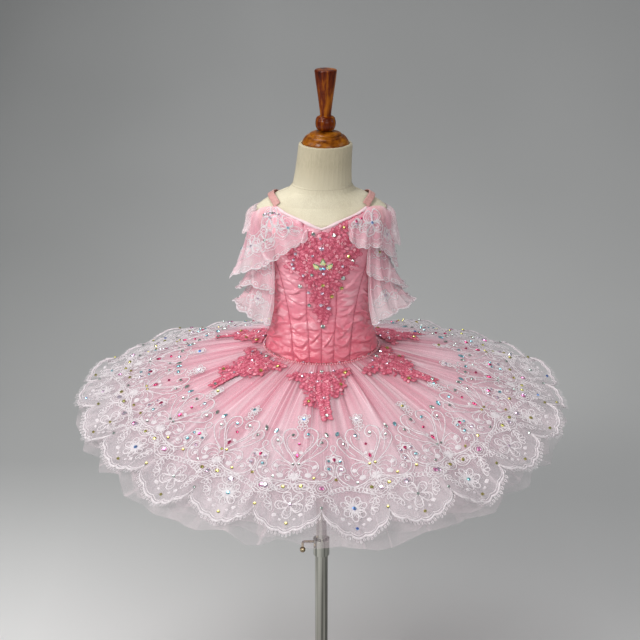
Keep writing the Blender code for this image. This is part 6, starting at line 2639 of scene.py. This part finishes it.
@dataclass
class Studio:
    """Pale floor swept up into a backdrop, soft lights and the camera."""

    camera_place: tuple[float, float, float] = (-0.00256, -2.2, 1.671)
    camera_tilt: float = 20.84
    sensor: float = 36.0
    focal_pixels: float = 1365.0
    picture_width: float = 640.0
    half_width: float = 7.0
    front: float = -7.0
    bend_start: float = 0.9
    bend_radius: float = 2.4
    top: float = 5.0
    shade_start: float = -1.2
    shade_end: float = 2.6
    lamps: tuple[Lamp, ...] = (
        Lamp("key_light", (-2.0, -2.3, 2.9), (0.0, 0.0, 0.85), 1.1, 76.0, (1.0, 0.985, 0.96)),
        Lamp("front_light", (0.9, -3.4, 2.1), (0.0, 0.0, 0.8), 1.6, 30.0, (1.0, 1.0, 1.0)),
        Lamp("top_light", (-0.5, 0.5, 3.4), (0.0, 0.0, 0.7), 1.4, 34.0, (0.98, 0.99, 1.0)),
        Lamp("floor_light", (-2.6, -0.4, 2.2), (-1.1, -0.6, 0.0), 1.4, 20.0, (1.0, 1.0, 1.0)),
        Lamp("side_light", (2.7, -0.2, 1.8), (1.0, -0.2, 0.1), 1.4, 12.0, (1.0, 1.0, 1.0)),
    )
    air: Colour = (0.8, 0.82, 0.85)
    air_strength: float = 0.16
    sunk: float = 0.0005
    # painted shade: the floor and backdrop darken with depth
    depth_shades: Sequence[tuple[float, Colour]] = (
        (0.0, (0.66, 0.665, 0.66)), (0.5, (0.5, 0.505, 0.5)), (1.0, (0.36, 0.365, 0.365)))
    corner_shade: Colour = (0.12, 0.125, 0.125)
    # colour of the painted glow low on the backdrop
    painted_glow_colour: Colour = (0.8, 0.81, 0.8)
    # colour of the painted pools of light
    painted_light_pool_colour: Colour = (0.8, 0.8, 0.79)
    pools: Sequence[tuple[float, float, float]] = (  # start, full and strength of the light at each side
        (-0.1, -0.62, 0.75), (0.2, 0.62, 0.35))
    cloud_shade: Colour = (0.8, 0.8, 0.8)

    def build(self) -> None:
        """Set up the floor, the lights and the camera."""
        self.floor()
        for lamp in self.lamps:
            self.hang(lamp)
        bpy.context.scene.world = self.room()
        bpy.context.scene.view_settings.view_transform = "Standard"
        bpy.context.scene.cycles.transparent_max_bounces = 32
        self.camera()

    def room(self) -> bpy.types.World:
        """Surround the set with even, dim light."""
        world = bpy.data.worlds.new("studio")
        world.use_nodes = True
        air = world.node_tree.nodes["Background"]
        air.inputs["Color"].default_value = (*self.air, 1.0)
        air.inputs["Strength"].default_value = self.air_strength
        return world

    def floor(self) -> None:
        """Lay the floor and sweep it up behind the form."""
        line = [(self.front, 0.0), (-2.0, 0.0), (self.bend_start, 0.0)]
        for turn in np.radians(np.arange(6.0, 90.1, 6.0)):
            line.append((self.bend_start + self.bend_radius * math.sin(turn),
                         self.bend_radius * (1.0 - math.cos(turn))))
        line.append((self.bend_start + self.bend_radius, self.top))
        side = np.linspace(-self.half_width, self.half_width, 5)
        points = np.array([[(x, y, z - self.sunk) for x in side] for y, z in line])
        book = MeshBook()
        book.add(points, grid_faces(len(line), len(side)))
        book.finish("floor", [self.floor_paint()])

    def floor_paint(self) -> bpy.types.Material:
        """Paint with painted shade that deepens towards the back and in its left corner, a painted glow
        low on the backdrop and painted pools of light at the front sides, seen from the front only.
        """
        desk = Desk("pale_floor")
        cloud = desk.noise(desk.place, 0.8, 2.0)
        across, back, up = (desk.part(desk.place, axis) for axis in "XYZ")
        depth = desk.spread(back, self.shade_start, self.shade_end, 0.0, 1.0)
        shade = desk.ramp(depth, self.depth_shades)
        # painted shade in the back left corner
        corner = desk.times(depth, desk.spread(across, -0.2, -1.5, 0.0, 0.95))
        shade = desk.mix(corner, shade, self.corner_shade)
        # painted glow: lighter paint low on the backdrop
        painted_glow = desk.times(desk.spread(up, 1.2, 0.0, 0.0, 0.17), desk.spread(back, 0.4, 1.8, 0.0, 1.0))
        shade = desk.mix(painted_glow, shade, self.painted_glow_colour)
        near = desk.spread(back, 1.1, 0.3, 0.0, 1.0)
        # painted pools of light near the front at both sides
        for low, high, amount in self.pools:
            pool = desk.times(near, desk.spread(across, low, high, 0.0, amount))
            shade = desk.mix(pool, shade, self.painted_light_pool_colour)
        behind = desk.node("NewGeometry", "Backfacing", {})
        desk.base(Base_Color=desk.mix(desk.spread(cloud, 0.3, 0.7, 0.0, 0.12), shade, self.cloud_shade),
                  Roughness=desk.spread(cloud, 0.3, 0.7, 0.7, 0.85), Specular_IOR_Level=0.2,
                  Alpha=desk.calc("SUBTRACT", 1.0, behind))
        return desk.material

    def hang(self, lamp: Lamp) -> None:
        """Hang one soft light.

        Args:
            lamp: the light.
        """
        data = bpy.data.lights.new(lamp.name, "AREA")
        data.size = lamp.size
        data.energy = lamp.power
        data.color = lamp.colour
        item = bpy.data.objects.new(lamp.name, data)
        item.location = lamp.place
        item.rotation_euler = (Vector(lamp.aim) - Vector(lamp.place)).to_track_quat("-Z", "Y").to_euler()
        bpy.context.scene.collection.objects.link(item)

    def camera(self) -> None:
        """Place the camera."""
        data = bpy.data.cameras.new("camera")
        data.sensor_width = self.sensor
        data.lens = self.focal_pixels * self.sensor / self.picture_width
        item = bpy.data.objects.new("camera", data)
        item.location = self.camera_place
        item.rotation_euler = (math.radians(90.0 - self.camera_tilt), 0.0, 0.0)
        bpy.context.scene.collection.objects.link(item)
        bpy.context.scene.camera = item


def main() -> None:
    """Build every sub-assembly in order."""
    logging.basicConfig(level=logging.INFO, format="%(message)s")
    torso = TorsoShape()
    skirt = SkirtShape(torso)
    box = Workbox()
    Studio().build()
    Stand().dress()
    DressForm(torso, box).dress()
    Bodice(torso, box).build()
    Edgings(torso, box).build()
    NetSkirt(skirt).build()
    LaceOverlay(skirt, box).build()
    Sleeves(torso, box).build()
    Appliques(torso, skirt, box).build()


if __name__ == "__main__":
    main()
